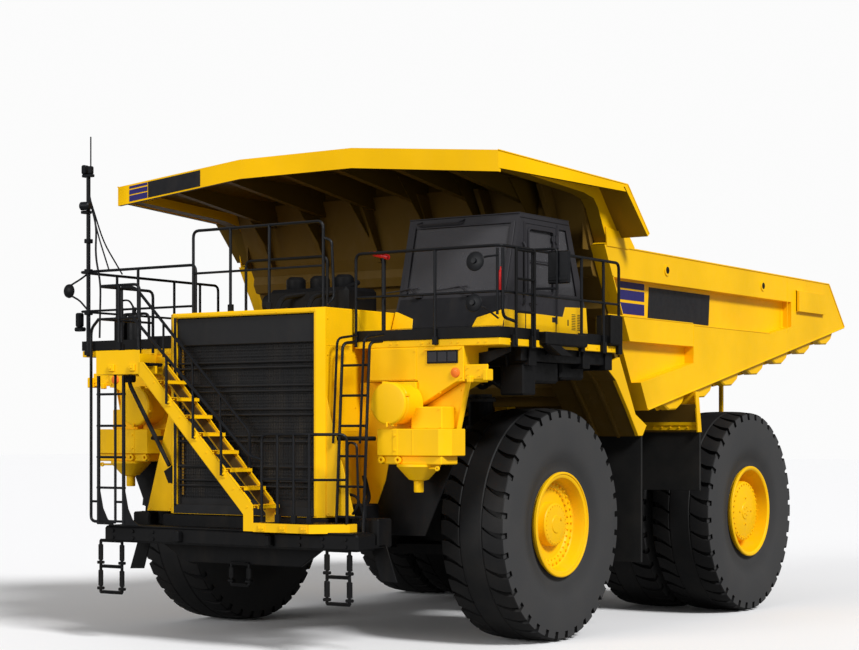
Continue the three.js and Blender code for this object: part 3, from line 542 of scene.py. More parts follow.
radiator_core = sprayed_enamel("radiator_core_grey", (0.03, 0.03, 0.031), 0.6, 0.3)
bm = bmesh.new()
plate(bm, -1.128, 1.128, -2.78, -2.72, 1.77, 4.2, 0.01)
for i in range(24):
    z = 1.85 + i * 0.084
    plate(bm, -1.1, 1.1, -2.79, -2.775, z, z + 0.03, 0.003)
finished("radiator_core", bm, radiator_core)
# A dark yellow strip behind the mesh: painted shade.
bm = bmesh.new()
plate(bm, -1.125, -1.06, -2.812, -2.792, 1.92, 3.84, 0.003)
finished("radiator_side_strip", bm, sprayed_enamel("radiator_strip_painted_shade", (0.4, 0.2, 0.01), 0.6, 0.3))

# ---------------------------------------------------------------- hood trim
# Yellow sheet-metal hood: a rolled lip round the grille mouth, a lid seam,
# side doors with flush hinges, and rows of small fixing screws.

SCREW = (0.022, 0.01)

bm = bmesh.new()
plate(bm, -1.184, -1.166, -2.893, -2.86, 1.69, 4.27, 0.003)
plate(bm, 1.138, 1.182, -2.893, -2.86, 1.69, 4.27, 0.008)
for side in (-1, 1):
    gusset = ((1.25, 1.702), (1.705, 1.702), (1.382, 2.805), (1.25, 3.25))
    cut_sheet(bm, [(side * x, -2.81, z) for x, z in gusset], (0, 0.012, 0), 0.002)
    for x, z in ((1.64, 1.73), (1.3, 1.73)):
        bolt(bm, spot(side * x, -2.81, z), FORWARD, *SCREW)
plate(bm, -1.18, 1.18, -2.895, -2.86, 4.226, 4.276, 0.01)
plate(bm, -1.262, 1.262, -2.82, -1.02, 4.272, 4.292, 0.008)
for side in (-1, 1):
    for z in (3.82, 2.75):
        plate(bm, *sorted((side * 1.268, side * 1.274)), -2.8, -1.6, z - 0.004, z + 0.004, 0.001)
    for y in (-2.78, -2.2, -1.6):
        for z in (1.78, 2.4, 3.05, 3.7, 4.15):
            bolt(bm, spot(side * 1.27, y, z), (side, 0, 0), *SCREW)
for x in (-1.1, -0.55, 0, 0.55, 1.1):
    bolt(bm, spot(x, -2.893, 4.25), FORWARD, 0.022, 0.008)
finished("hood_trim", bm, truck_yellow)

# ---------------------------------------------------------------- stairs
# Two channel-section stringers with open folded treads bolted between them,
# rising from the nose platform to the landing on the right.

bm = bmesh.new()
for front, back in ((-3.4, -3.386), (-2.96, -2.946)):
    cut_sheet(bm, on_y(front, (-1.31, 3.64), (-1.31, 3.47), (0.43, 1.72), (0.43, 1.515), (0.582, 1.515),
                       (0.582, 1.84), (0.52, 1.9), (-1.235, 3.64)), (0, back - front, 0), 0.002)
    for line in (((-1.25, 3.63), (0.515, 1.895)), ((-1.3, 3.475), (0.42, 1.735))):
        (x0, z0), (x1, z1) = line
        cut_sheet(bm, on_y(front, (x0, z0), (x1, z1), (x1 + 0.008, z1 - 0.01), (x0 + 0.008, z0 - 0.01)),
                  (0, 0.045, 0), 0.002)
for i in range(8):
    x, z = -0.944 + i * 0.2199, 3.403 - i * 0.2235
    plate(bm, x - 0.14, x + 0.06, -3.386, -2.96, z - 0.006, z, 0.002)
    for edge in (x - 0.14, x + 0.054):
        plate(bm, edge, edge + 0.006, -3.386, -2.96, z - 0.045, z, 0.002)
    for row in range(9):
        y = -3.35 + row * 0.045
        for col in range(4):
            bolt(bm, spot(x - 0.12 + col * 0.05, y, z), UP, 0.018, 0.004)
    for y, out in ((-3.4, -1), (-2.946, 1)):
        for dx in (-0.1, 0.02):
            bolt(bm, spot(x + dx, y, z - 0.025), (0, out, 0), 0.02, 0.008)
for x, z in ((-0.808, 3.12), (-0.363, 2.68), (0.099, 2.22)):
    plate(bm, x - 0.045, x + 0.045, -3.41, -3.395, z - 0.05, z + 0.05, 0.003)
    bolt(bm, spot(x - 0.028, -3.41, z), FORWARD, 0.03, 0.02)
    bolt(bm, spot(x + 0.028, -3.41, z), FORWARD, 0.03, 0.02)
finished("stair_flight", bm, truck_yellow, "stairs")
# A dark brown sheet over the far stringer's web: painted shade.
bm = bmesh.new()
cut_sheet(bm, on_y(-2.985, (-1.25, 3.6), (-1.27, 3.49), (0.425, 1.765), (0.5, 1.87)), (0, 0.022, 0), 0.001)
finished("stair_web", bm, sprayed_enamel("stringer_web_painted_shade", (0.11, 0.058, 0.01), 0.6, 0.2))

# ---------------------------------------------------------------- landing
# Top landing on the right: yellow folded fascia round an open black grating,
# carried on brackets and a black brace from the front sheet.

bm = bmesh.new()
plates(bm, [
    (-2.065, -1.3, -3.4, -3.385, 3.49, 3.8, 0.003),
    (-2.065, -2.05, -3.395, -2.242, 3.49, 3.8, 0.003),
    (-2.06, -1.28, -3.39, -3.34, 3.49, 3.502, 0.002),
])
for y in (-3.1, -2.8, -2.5):
    plate(bm, -2.06, -1.28, y - 0.02, y + 0.02, 3.5, 3.6, 0.003)
for x in (-1.78, -1.42):
    plate(bm, x - 0.05, x + 0.05, -3.43, -3.4, 3.53, 3.62, 0.006)
    bolt(bm, spot(x, -3.43, 3.575), FORWARD, 0.035, 0.015)
for z in (3.54, 3.76):
    for y in (-3.25, -2.9, -2.55):
        bolt(bm, spot(-2.065, y, z), (-1, 0, 0), 0.025, 0.01)
finished("landing_frame", bm, truck_yellow, "landing")
bm = bmesh.new()
for i in range(24):
    y = -3.37 + i * 0.047
    plate(bm, -2.045, -1.28, y - 0.003, y + 0.003, 3.6, 3.64, 0.001)
for i in range(9):
    x = -2.02 + i * 0.09
    plate(bm, x - 0.003, x + 0.003, -3.38, -2.25, 3.61, 3.638, 0.001)
finished("landing_grating", bm, rail_black)

# ---------------------------------------------------------------- nose platform
# Wide first step over the left end of the bumper, folded from yellow plate,
# with black grip tape on top and bolted pads under its rail posts.

bm = bmesh.new()
cut_sheet(bm, on_z(1.6215, (0.7, -3.38), (1.44, -3.38), (1.77, -3.05), (1.77, -2.93), (0.7, -2.93)),
          (0, 0, 0.004), 0.001)
finished("platform_grip_tape", bm, chassis_black)
bm = bmesh.new()
for x in (0.72, 1.05, 1.38):
    plate(bm, x - 0.05, x + 0.05, -3.412, -3.4, 1.52, 1.6, 0.003)
    for dx in (-0.025, 0.025):
        bolt(bm, spot(x + dx, -3.412, 1.56), FORWARD, 0.028, 0.012)
finished("platform_post_pads", bm, truck_yellow)

# ---------------------------------------------------------------- guard rails
# Bent round tube in black powder coat: rails with a knee rail and upright
# posts round the decks, hood and landing, and both ladders.


def guard_run(bm, route, foot, top, knee, posts, radius=0.02):
    first, last = route[0], route[-1]
    tube(bm, [(*first, foot)] + [(*stop, top) for stop in route] + [(*last, foot)], radius)
    tube(bm, [(*stop, knee) for stop in route], radius * 0.8)
    for x, y in posts:
        tube(bm, [(x, y, foot), (x, y, top)], radius)
        plate(bm, x - 0.035, x + 0.035, y - 0.02, y + 0.03, foot, foot + 0.1, 0.004)


for side, sign in SIDES:
    bm = bmesh.new()
    guard_run(bm, [(sign * 1.33, -2.268), (sign * 3.47, -2.268), (sign * 3.47, 0.7)], 3.81, 4.98, 4.43,
              [(2.53 if sign > 0 else -2.37, -2.268), (sign * 3.47, -1.52), (sign * 3.47, -0.3),
               (sign * 3.47, 0.28)])
    if sign > 0:
        tube(bm, [(1.724, -2.22, 3.98), (1.724, -2.22, 4.93)], 0.028)
        tube(bm, [(3.43, -2.268, 4.95), (3.43, -2.268, 4.15)], 0.018)
        tube(bm, on_x(3.49, (-2.24, 4.95), (-2.24, 4.12), (-1.95, 4.08)), 0.02)
    finished(f"{side}_deck_guard", bm, rail_black, f"{side}_deck_rails")

bm = bmesh.new()
guard_run(bm, [(-0.95, -2.75), (1.18, -2.75)], 4.285, 5.366, 4.81, [(-0.32, -2.75), (0.32, -2.75)])
tube(bm, [(1.18, -2.75, 5.16), (1.29, -2.72, 5.12), (1.31, -2.7, 4.4), (1.25, -2.75, 4.32)], 0.018)
finished("hood_guard", bm, rail_black, "hood_rails")

bm = bmesh.new()
guard_run(bm, [(-1.32, -3.376), (-2.041, -3.376), (-2.041, -2.33)], 3.81, 4.65, 4.22,
          [(-1.68, -3.376), (-2.041, -2.94)])
tube(bm, on_y(-2.94, (-2.041, 4.66), (-1.799, 4.66), (0.15, 2.74), (0.15, 1.96)), 0.02)
tube(bm, [(-1.3, -2.94, 4.17), (-1.3, -2.94, 3.72)], 0.016)
for x in (-0.8, -0.335):
    tube(bm, [(x, -2.94, 4.65 - (x + 1.799) * 0.9736), (x, -2.94, 3.664 - (x + 1.235) * 0.9858)], 0.016)
tube(bm, [(-2.041, -3.376, 4.22), (-2.25, -3.3, 4.1), (-2.25, -3.3, 1.57), (-2.1, -3.3, 1.56)], 0.02)
for line in (((-1.814, 3.5), (-1.814, 1.56)), ((-2.12, 1.6), (-1.9, 1.56), (-1.814, 1.56))):
    tube(bm, on_y(-3.3, *line), 0.018)
for x in (-2.113, -1.667):
    tube(bm, [(x, -3.3, 3.48), (x, -3.3, 1.53)], 0.024)
    tube(bm, [(x - 0.14, -3.3, 1.828), (x, -3.3, 1.828)], 0.016)
    foot = ((-0.02, 1.527), (0.28, 1.527), (0.16, 1.6), (0.08, 1.74), (0.03, 1.95), (0, 2.08), (-0.02, 2.08))
    cut_sheet(bm, [(x + dx, -3.31, z) for dx, z in foot], (0, 0.02, 0), 0.003)
for z in (3.237, 2.823, 2.412, 2.011, 1.573):
    tube(bm, [(-2.14, -3.3, z), (-1.64, -3.3, z)], 0.016)
finished("landing_guard_and_ladder", bm, rail_black, "landing_rails")

bm = bmesh.new()
guard_run(bm, [(0.7, -3.368), (1.44, -3.368), (1.786, -3.075)], 1.63, 2.71, 2.16,
          [(0.95, -3.368), (1.2, -3.368), (1.44, -3.368)])
tube(bm, [(-1.364, -3.43, 4.2), (0.56, -3.43, 2.446), (0.7, -3.37, 2.4)], 0.02, 0.05)
for x, foot in ((-0.808, 3.1), (-0.363, 2.66), (0.099, 2.2)):
    tube(bm, [(x, -3.43, 4.197 - (x + 1.364) * 0.9125), (x, -3.43, foot)], 0.018)
tube(bm, [(1.74, -3.0, 1.66), (1.74, -3.0, 2.62), (1.88, -3.0, 2.6), (1.89, -2.98, 1.86), (1.79, -2.96, 1.74)],
     0.016)
finished("platform_guard_and_handrail", bm, rail_black, "platform_rails")

bm = bmesh.new()
for x in (1.47, 1.88):
    tube(bm, [(x, -2.87, 1.515), (x, -2.735, 3.84), (x + 0.02, -2.5, 3.86)], 0.02)
    tube(bm, [(x - 0.07, -2.84, 2.6), (x - 0.05, -2.78, 3.9), (x - 0.03, -2.4, 3.95)], 0.016)
for i in range(6):
    t = 0.08 + i * 0.16
    y, z = -2.87 + 0.135 * t, 1.513 + 2.327 * t
    tube(bm, [(1.46, y, z), (1.89, y, z)], 0.016)
finished("hood_side_ladder", bm, rail_black, "hood_ladder")

# ---------------------------------------------------------------- dump bed
# Welded high-strength plate body, enamelled yellow, with painted shade on its downward faces
# and under the canopy; its side sheets carry stripes, a blank panel, eyes and weld beads.


# Copies the yellow enamel and mixes in a dark brown on faces that lie in shade: painted shade.
def with_painted_shade(name, inside_too):
    coat = truck_yellow.copy()
    coat.name = name
    tree = coat.node_tree
    unshaded_yellow = tree.nodes["Principled BSDF"].inputs["Base Color"].links[0].from_socket
    facing_up = plugged(tree, "SeparateXYZ", "Z", {"Vector": plugged(tree, "TexCoord", "Normal")})
    where = plugged(tree, "TexCoord", "Object")
    x, y = (plugged(tree, "SeparateXYZ", axis, {"Vector": where}) for axis in "XY")

    def sum_of(kind, *values):
        return calculated(tree, kind, *values)

    # Downward-facing faces get the dark brown: painted shade.
    painted_shade = sum_of("LESS_THAN", facing_up, -0.2)
    if inside_too:
        # Between the canopy legs and behind the canopy front, every face not facing up gets the same dark
        # brown: painted shade.
        between = sum_of("LESS_THAN", sum_of("ABSOLUTE", x), CANOPY_LEG_X)
        within = sum_of("MULTIPLY", between, sum_of("GREATER_THAN", y, AXLE_Y - 1.768))
        within = sum_of("MULTIPLY", within, sum_of("LESS_THAN", facing_up, 0.5))
        # Outboard of the canopy legs the painted shade is made a little lighter: painted light.
        lighter_painted_shade_outside = sum_of("ADD", sum_of("MULTIPLY", sum_of("GREATER_THAN", x, CANOPY_LEG_X), -0.16), 1)
        painted_shade = sum_of("MULTIPLY", sum_of("MAXIMUM", painted_shade, within), lighter_painted_shade_outside)
    painted_shade = sum_of("MULTIPLY", painted_shade, 0.92)
    dress(tree, Specular_IOR_Level=0.06, Base_Color=mixed(tree, painted_shade, unshaded_yellow, (0.036, 0.023, 0.008)))
    return coat


CANOPY_LEG_X = 2.962
# The bed floor gets painted shade on its underside; the canopy gets it on its underside and between its legs.
underside_painted_shade_yellow = with_painted_shade("underside_painted_shade_yellow", False)
canopy_painted_shade_yellow = with_painted_shade("canopy_painted_shade_yellow", True)
# A dark brown copy of the yellow enamel: painted shade.
shaded_yellow = sprayed_enamel("shaded_yellow", (0.15, 0.085, 0.012), 0.6, 0.25)
stripe_blue = sprayed_enamel("stripe_blue", (0.026, 0.022, 0.14), 0.35, 0.08)
panel_black = sprayed_enamel("panel_black", (0.013, 0.013, 0.015), 0.35, 0.08)
repaint(underside_painted_shade_yellow, "bed_floor")
repaint(canopy_painted_shade_yellow, "canopy")
# The bed front wall and the mudguards get the painted-shade yellow.
repaint(shaded_yellow, """bed_front_wall left_front_mudguard right_front_mudguard left_rear_mudguard
    right_rear_mudguard""")


def both_sides(name, build, paint, *stands_for, body="chassis", slot=None):
    for side, sign in SIDES:
        bm = bmesh.new()
        build(bm)
        if sign < 0:
            bmesh.ops.scale(bm, verts=bm.verts, vec=(-1, 1, 1))
        finished(f"{side}_{name}", bm, paint, *(f"{side}_{node}" for node in stands_for),
                 body=body.format(side), slot=slot)


def bed_trim(bm):
    for line in (((0.96, 5.262), (8.63, 5.228)), ((8.64, 5.215), (9.3, 4.545))):
        tube(bm, on_x(3.179, *line), 0.012, 0, 6)
    for y0, y1, z in ((0.94, 3.5, 4.325), (3.55, 6.2, 4.3)):
        tube(bm, [(3.178, y0, z), (3.178, y1, z)], 0.008, 0, 6)
    tube(bm, [(3.178, 2.1, 3.055), (3.178, 9.29, 4.53)], 0.014, 0, 6)
    for y, z in ((2.67, 5.04), (5.95, 5.03)):
        turn = Matrix.Translation(spot(3.183, y, z)) @ Matrix.Rotation(math.pi / 2, 4, "Y")
        bmesh.ops.create_cone(bm, cap_ends=True, segments=20, radius1=0.085, radius2=0.08, depth=0.018,
                              matrix=turn)
    for y, low, high in ((6.9, 4.33, 5.22), (3.53, 3.86, 4.3)):
        tube(bm, [(3.176, y, low), (3.176, y, high)], 0.006, 0, 6)
    plate(bm, 3.177, 3.2, 7.24, 8.36, 5.03, 5.05, 0.004)
    for y in (7.25, 8.33):
        plate(bm, 3.177, 3.2, y, y + 0.02, 4.69, 5.04, 0.004)


def bed_eyes(bm):
    for y, z in ((2.67, 5.04), (5.95, 5.03)):
        turn = Matrix.Translation(spot(3.186, y, z)) @ Matrix.Rotation(math.pi / 2, 4, "Y")
        bmesh.ops.create_cone(bm, cap_ends=True, segments=20, radius1=0.05, radius2=0.05, depth=0.016,
                              matrix=turn)


def bed_stripes(bm):
    for low, high in ((4.732, 4.821), (4.572, 4.707), (4.376, 4.531)):
        cut_sheet(bm, on_x(3.031, (1.5, low), (2.26, low), (2.26, high), (1.5, high)), (0.003, 0, 0), 0)


def bed_panel(bm):
    cut_sheet(bm, on_x(3.031, (2.36, 4.335), (4.32, 4.335), (4.36, 4.79), (2.4, 4.79)), (0.003, 0, 0), 0)


def bed_ribs(bm):
    cut_sheet(bm, [(3.031, 1.07, 4.86), (3.177, 1.07, 4.86), (3.177, 1.38, 4.3), (3.031, 1.38, 4.3)],
              (0, 0.02, 0), 0.003)
    for i in range(7):
        y = 2.6 + i * 0.93
        z = 3.044 + (y + 0.33 - 2.098) * 0.2067
        under = ((0.0, 0.06), (0.08, -0.08), (0.26, -0.16), (0.5, -0.15), (0.68, -0.06), (0.8, 0.12))
        cut_sheet(bm, [(2.98, y + dy, z + dz) for dy, dz in under], (0.14, 0, 0), 0.02)


both_sides("bed_side_welds", bed_trim, truck_yellow, body="dump_bed")
both_sides("bed_lifting_eyes", bed_eyes, chassis_black, body="dump_bed")
both_sides("bed_side_stripes", bed_stripes, stripe_blue, body="dump_bed")
both_sides("bed_side_panel", bed_panel, panel_black, body="dump_bed")
both_sides("bed_rib_ends", bed_ribs, truck_yellow, body="dump_bed")


def bed_front(z):
    return 0.84 + 0.568 * (5.26 - z)


# The folds on the bed front wall are in the painted-shade yellow.
bm = bmesh.new()
for z in (5.1, 4.55, 4.0, 3.5):
    y = bed_front(z)
    cut_sheet(bm, on_x(-2.94, (y - 0.01, z), (y - 0.03, z - 0.12), (y + 0.03, z - 0.24), (y + 0.14, z - 0.26)),
              (5.88, 0, 0), 0.006)
for x in (-2.5, -1.5, -0.5, 0.5, 1.5, 2.5):
    cut_sheet(bm, on_x(x - 0.04, (0.52, 6.06), (0.24, 6.06), (0.78, 5.2), (0.9, 5.2)), (0.08, 0, 0), 0.004)
finished("bed_front_folds", bm, shaded_yellow, body="dump_bed")


def lip_strip(bm, x0, x1, low, high):
    def lip(x, share):
        top = 6.41 - (abs(x) - 0.932) * 0.0941
        bottom = 6.15 - (abs(x) - 0.932) * 0.0963
        return bottom + (top - bottom) * share
    cut_sheet(bm, on_y(-1.826, (x0, lip(x0, low)), (x1, lip(x1, low)), (x1, lip(x1, high)),
                       (x0, lip(x0, high))), (0, -0.003, 0), 0)


bm = bmesh.new()
for low, high in ((0.09, 0.4), (0.46, 0.7), (0.77, 0.91)):
    lip_strip(bm, -2.945, -2.605, low, high)
finished("canopy_stripes", bm, stripe_blue, body="dump_bed")
bm = bmesh.new()
lip_strip(bm, -2.592, -1.636, 0.08, 0.92)
finished("canopy_panel", bm, panel_black, body="dump_bed")


def canopy_gussets(bm):
    for x, z in ((2.25, 6.13), (1.35, 6.24), (0.45, 6.29)):
        cut_sheet(bm, on_x(x + 0.06, (0.55, z - 0.03), (-0.2, z - 0.03), (0.55, z - 0.75)), (0.012, 0, 0), 0)


both_sides("canopy_gussets", canopy_gussets, canopy_painted_shade_yellow, body="dump_bed")


def canopy_edge(bm):
    for route in ([(3.166, -1.826, 6.2), (3.558, 0.79, 6.028)], [(3.588, 1.34, 5.42), (3.56, 0.79, 6.02)]):
        tube(bm, route, 0.01, 0, 6)
    cut_sheet(bm, on_x(3.17, (0.9, 5.24), (1.5, 5.24), (1.56, 5.44), (0.86, 5.5)), (0.02, 0, 0), 0.004)


both_sides("canopy_edge_beads", canopy_edge, truck_yellow, body="dump_bed")


# A closing plate in the painted-shade yellow, where the gap beside the canopy lies in shade.
def canopy_closer(bm):
    plate(bm, 2.9, 2.92, 0.72, 1.2, 5.2, 5.62, 0.002)


both_sides("canopy_closers", canopy_closer, shaded_yellow, body="dump_bed")

# ---------------------------------------------------------------- mudguards
# Curved steel shields bolted under the body in painted-shade yellow, with the outer
# edge in lit yellow and ribbed across, each ending in a thick hanging flap of black rubber.

flap_rubber = moulded_rubber("flap_rubber", (0.008, 0.008, 0.008), (0.008, 0.008, 0.008), 0.08)
GUARD_CURVE = [(0.95, 3.63), (1.1, 3.57), (1.3, 3.44), (1.68, 3.03), (1.96, 2.69)]


def guard_edge(bm):
    outer = [(0.865, 3.635), (1.02, 3.572), (1.228, 3.442), (1.598, 3.03), (1.878, 2.688), (2.0, 2.688),
             (2.126, 2.836), (1.794, 2.99), (1.334, 3.76)]
    cut_sheet(bm, on_x(3.088, *outer), (0.056, 0, 0), 0.006)


def guard_ribs(bm):
    for x in (2.42, 2.78):
        back = [(y + 0.05, z + 0.06) for y, z in reversed(GUARD_CURVE)]
        cut_sheet(bm, [(x, y - 0.04, z - 0.03) for y, z in GUARD_CURVE] + [(x, y, z) for y, z in back],
                  (0.05, 0, 0), 0.004)
    for i in range(9):
        x = 2.12 + i * 0.12
        bolt(bm, spot(x, 1.985, 2.722), (0, -1, -0.1), 0.03, 0.022)


def rear_frame(bm):
    cut_sheet(bm, on_x(3.235, (3.42, 3.33), (3.5, 2.74), (3.62, 2.74), (3.52, 3.33)), (0.03, 0, 0), 0.005)
    cut_sheet(bm, on_y(3.515, (1.3, 2.84), (3.24, 2.84), (3.24, 3.33), (2.98, 3.34), (2.98, 3.24), (1.3, 3.24)),
              (0, 0.01, 0), 0.002)
    cut_sheet(bm, on_y(3.528, (1.3, 2.77), (3.25, 2.77), (3.25, 2.85), (1.3, 2.85)), (0, 0.03, 0), 0.003)
    for i in range(14):
        bolt(bm, spot(1.4 + i * 0.14, 3.53, 2.81), FORWARD, 0.03, 0.02)


# The ribs and clamp strips are in the painted-shade yellow; the edges are in the lit yellow.
both_sides("mudguard_edge", guard_edge, truck_yellow, body="dump_bed")
both_sides("mudguard_ribs", guard_ribs, shaded_yellow, body="dump_bed")
both_sides("mudguard_flap", lambda bm: plate(bm, 2.055, 3.135, 1.981, 2.017, 0.925, 2.69, 0.008), flap_rubber,
           body="dump_bed")
both_sides("mudguard_clamp_strip", lambda bm: plate(bm, 2.06, 3.14, 1.972, 1.99, 2.68, 2.76, 0.004),
           shaded_yellow, body="dump_bed")
both_sides("rear_mudguard_flap", lambda bm: plate(bm, 1.296, 3.254, 3.574, 3.616, 1.886, 2.77, 0.008),
           flap_rubber, body="dump_bed")
both_sides("rear_mudguard_edge", rear_frame, truck_yellow, body="dump_bed")

# ---------------------------------------------------------------- cab
# Steel operator's cab in charcoal enamel with tinted safety glass all round,
# a yellow skirt with a vent louvre, a black front panel, visor and wipers.


def tinted_pane(name, colour, clear):
    glass, tree, where = new_material(name)
    smear = noise(tree, where, 3, 5)
    dress(tree, Transmission_Weight=clear, IOR=1.15, Roughness=graded(tree, smear, 0, 1, 0.04, 0.16),
          Base_Color=mixed(tree, smear, colour, tuple(c * 1.25 for c in colour)))
    return glass


cab_tint = tinted_pane("cab_tint", (0.1, 0.098, 0.105), 0.5)
repaint(cab_tint, "windscreen rear_glass")


def cab_front(z):
    if z < 4.07:
        return -1.47 + (z - 3.877) * 0.155
    if z < 4.47:
        return -1.44 + (z - 4.07) * 0.375
    return -1.29 + (z - 4.47) * 0.2574


def front_patch(bm, corners):
    cut_sheet(bm, [(x, cab_front(z) - 0.001, z) for x, z in corners], (0, -0.008, 0), 0.002)


bm = bmesh.new()
front_patch(bm, [(1.3, 4.075), (1.62, 4.075), (1.6, 4.197), (1.34, 4.295), (1.3, 4.3)])
front_patch(bm, [(1.3, 4.0), (1.62, 4.0), (1.62, 4.07), (1.3, 4.07)])
front_patch(bm, [(2.54, 4.0), (2.99, 4.0), (2.99, 4.07), (2.54, 4.07)])
front_patch(bm, [(2.54, 4.075), (2.99, 4.075), (2.99, 4.28), (2.95, 4.28), (2.585, 4.185)])
for side in (1.298, 2.992):
    out = 0.006 if side > 2 else -0.006
    cut_sheet(bm, on_x(side, (-1.43, 4.0), (-0.91, 4.0), (-0.91, 4.27), (-1.36, 4.28), (-1.4, 4.18)),
              (out, 0, 0), 0.002)
    cut_sheet(bm, on_x(side, (-0.12, 4.0), (0.71, 4.0), (0.66, 4.4), (0.1, 4.38), (0.04, 4.25), (-0.12, 4.25)),
              (out, 0, 0), 0.002)
finished("cab_skirt", bm, truck_yellow)

bm = bmesh.new()
cut_sheet(bm, on_x(2.992, (-0.885, 4.025), (-0.145, 4.025), (-0.145, 4.25), (-0.885, 4.26)), (0.006, 0, 0),
          0.002)
finished("door_skirt", bm, truck_yellow, body="cab_door")

bm = bmesh.new()
front_patch(bm, [(1.63, 4.0), (2.53, 4.0), (2.53, 4.07), (1.63, 4.07)])
front_patch(bm, [(1.63, 4.075), (2.53, 4.075), (2.575, 4.195), (2.94, 4.29), (2.94, 4.46), (1.34, 4.46),
                 (1.34, 4.305), (1.61, 4.205)])
for i in range(10):
    z = 4.09 + i * 0.022
    for y in (0.27, 0.42):
        plate(bm, 2.992, 3.001, y, y + 0.1, z, z + 0.009, 0.001)
plate(bm, 2.994, 3.0, 0.16, 0.19, 4.14, 4.22, 0.002)
finished("cab_front_panel", bm, panel_black)

bm = bmesh.new()
for x0, x1 in ((1.36, 1.42), (2.88, 2.94)):
    cut_sheet(bm, [(x0, cab_front(4.5) - 0.004, 4.5), (x1, cab_front(4.5) - 0.004, 4.5),
                   (x1, cab_front(5.42) - 0.004, 5.42), (x0, cab_front(5.42) - 0.004, 5.42)], (0, -0.012, 0),
              0.004)
tube(bm, [(1.5, -1.03, 5.48), (1.45, -1.11, 5.44), (2.12, -1.11, 5.44), (2.16, -1.03, 5.48)], 0.012, 0.05, 8)
tube(bm, [(1.5, cab_front(5.4) - 0.01, 5.4), (2.9, cab_front(5.4) - 0.01, 5.4)], 0.01, 0, 6)
for x, lean in ((1.62, -0.28), (2.4, -0.3)):
    z = 4.5
    plate(bm, x - 0.05, x + 0.05, cab_front(z) - 0.06, cab_front(z) - 0.005, z - 0.03, z + 0.03, 0.006)
    tube(bm, [(x, cab_front(z) - 0.035, z), (x + lean * 0.5, cab_front(4.62) - 0.035, 4.6),
              (x + lean, cab_front(4.6) - 0.03, 4.58)], 0.01, 0.03, 6)
    tube(bm, [(x + lean - 0.24, cab_front(4.56) - 0.02, 4.56), (x + lean + 0.26, cab_front(4.6) - 0.02, 4.6)],
         0.008, 0, 6)
plate(bm, 1.3, 2.99, -1.04, 0.22, 5.512, 5.528, 0.006)
for side in (1.298, 2.992):
    out = 1 if side > 2 else -1
    for line in (((-0.93, 4.45), (-0.93, 5.42)), ((-0.1, 4.28), (-0.1, 5.44)), ((-1.02, 5.47), (0.2, 5.47))):
        tube(bm, on_x(side + out * 0.002, *line), 0.007, 0, 6)
tube(bm, on_y(-0.96, (2.998, 4.35), (3.035, 4.4), (3.035, 5.1), (2.998, 5.15)), 0.014, 0.03, 8)
finished("cab_frame_trim", bm, cab_charcoal)

bm = bmesh.new()
loop = [(2.996, -0.83, 4.5), (2.996, -0.83, 5.34), (2.996, -0.2, 5.34), (2.996, -0.2, 4.5), (2.996, -0.83, 4.5)]
tube(bm, loop, 0.014, 0.07, 6)
tube(bm, [(2.996, -0.83, 4.93), (2.996, -0.2, 4.93)], 0.008, 0, 6)
tube(bm, on_z(4.38, (2.99, -0.8), (3.03, -0.8), (3.03, -0.66), (2.99, -0.66)), 0.01, 0.02, 6)
for z in (4.2, 4.75, 5.25):
    bmesh.ops.create_cone(bm, cap_ends=True, segments=12, radius1=0.018, radius2=0.018, depth=0.1,
                          matrix=Matrix.Translation(spot(3.0, -0.135, z)))
    plate(bm, 2.988, 3.0, -0.24, -0.14, z - 0.035, z + 0.035, 0.003)
finished("cab_door_trim", bm, cab_charcoal, body="cab_door")

bm = bmesh.new()
plate(bm, 2.958, 2.966, -0.82, -0.21, 4.56, 5.32, 0.001)
finished("cab_door_glass", bm, cab_tint, body="cab_door")
bm = bmesh.new()
for x in (1.328, 2.962):
    cut_sheet(bm, on_x(x, (-0.045, 4.545), (0.41, 4.545), (0.128, 5.385), (-0.045, 5.385)), (0.006, 0, 0), 0)
cut_sheet(bm, on_x(1.32, (-1.11, 4.545), (-0.06, 4.545), (-0.06, 5.385), (-0.88, 5.385)), (0.006, 0, 0), 0)
finished("cab_side_glass", bm, cab_tint)

# ---------------------------------------------------------------- decks
# Yellow folded deck plates with black kick plates and grip coating, carried on
# black beams; a lamp box with a three-lens lamp hangs from each front corner.

lamp_glass = tinted_pane("lamp_glass", (0.045, 0.045, 0.05), 0.2)
marker_orange = tinted_pane("marker_orange", (0.85, 0.2, 0.03), 0.1)
DECK_Y = -2.241


def lathe(bm, section, place, out, steps=24):
    seat = Matrix.Translation(place) @ Vector(out).to_track_quat("Z", "Y").to_matrix().to_4x4()
    known = set(bm.verts)
    corners = [bm.verts.new(seat @ Vector((r, 0, d))) for r, d in section]
    edges = [bm.edges.new(pair) for pair in zip(corners, corners[1:])]
    bmesh.ops.spin(bm, geom=edges, cent=place, axis=Vector(out), angle=2 * math.pi, steps=steps, use_merge=True)
    bmesh.ops.remove_doubles(bm, verts=[v for v in bm.verts if v not in known], dist=0.0005)


def rod(radius, height):
    return [(0, 0), (radius, 0), (radius, height), (0, height)]


def deck_plate(bm):
    plate(bm, 1.29, 3.447, DECK_Y, 0.733, 3.79, 3.876, 0.006)
    for x in (1.5, 1.9, 2.37, 2.8, 3.2):
        for dx in (-0.05, 0.05):
            bolt(bm, spot(x + dx, DECK_Y, 3.834), FORWARD, 0.024, 0.01)
    for y in (-2.0, -1.5, -1.05, -0.1, 0.15, 0.55):
        bolt(bm, spot(3.447, y, 3.834), LEFT, 0.024, 0.01)


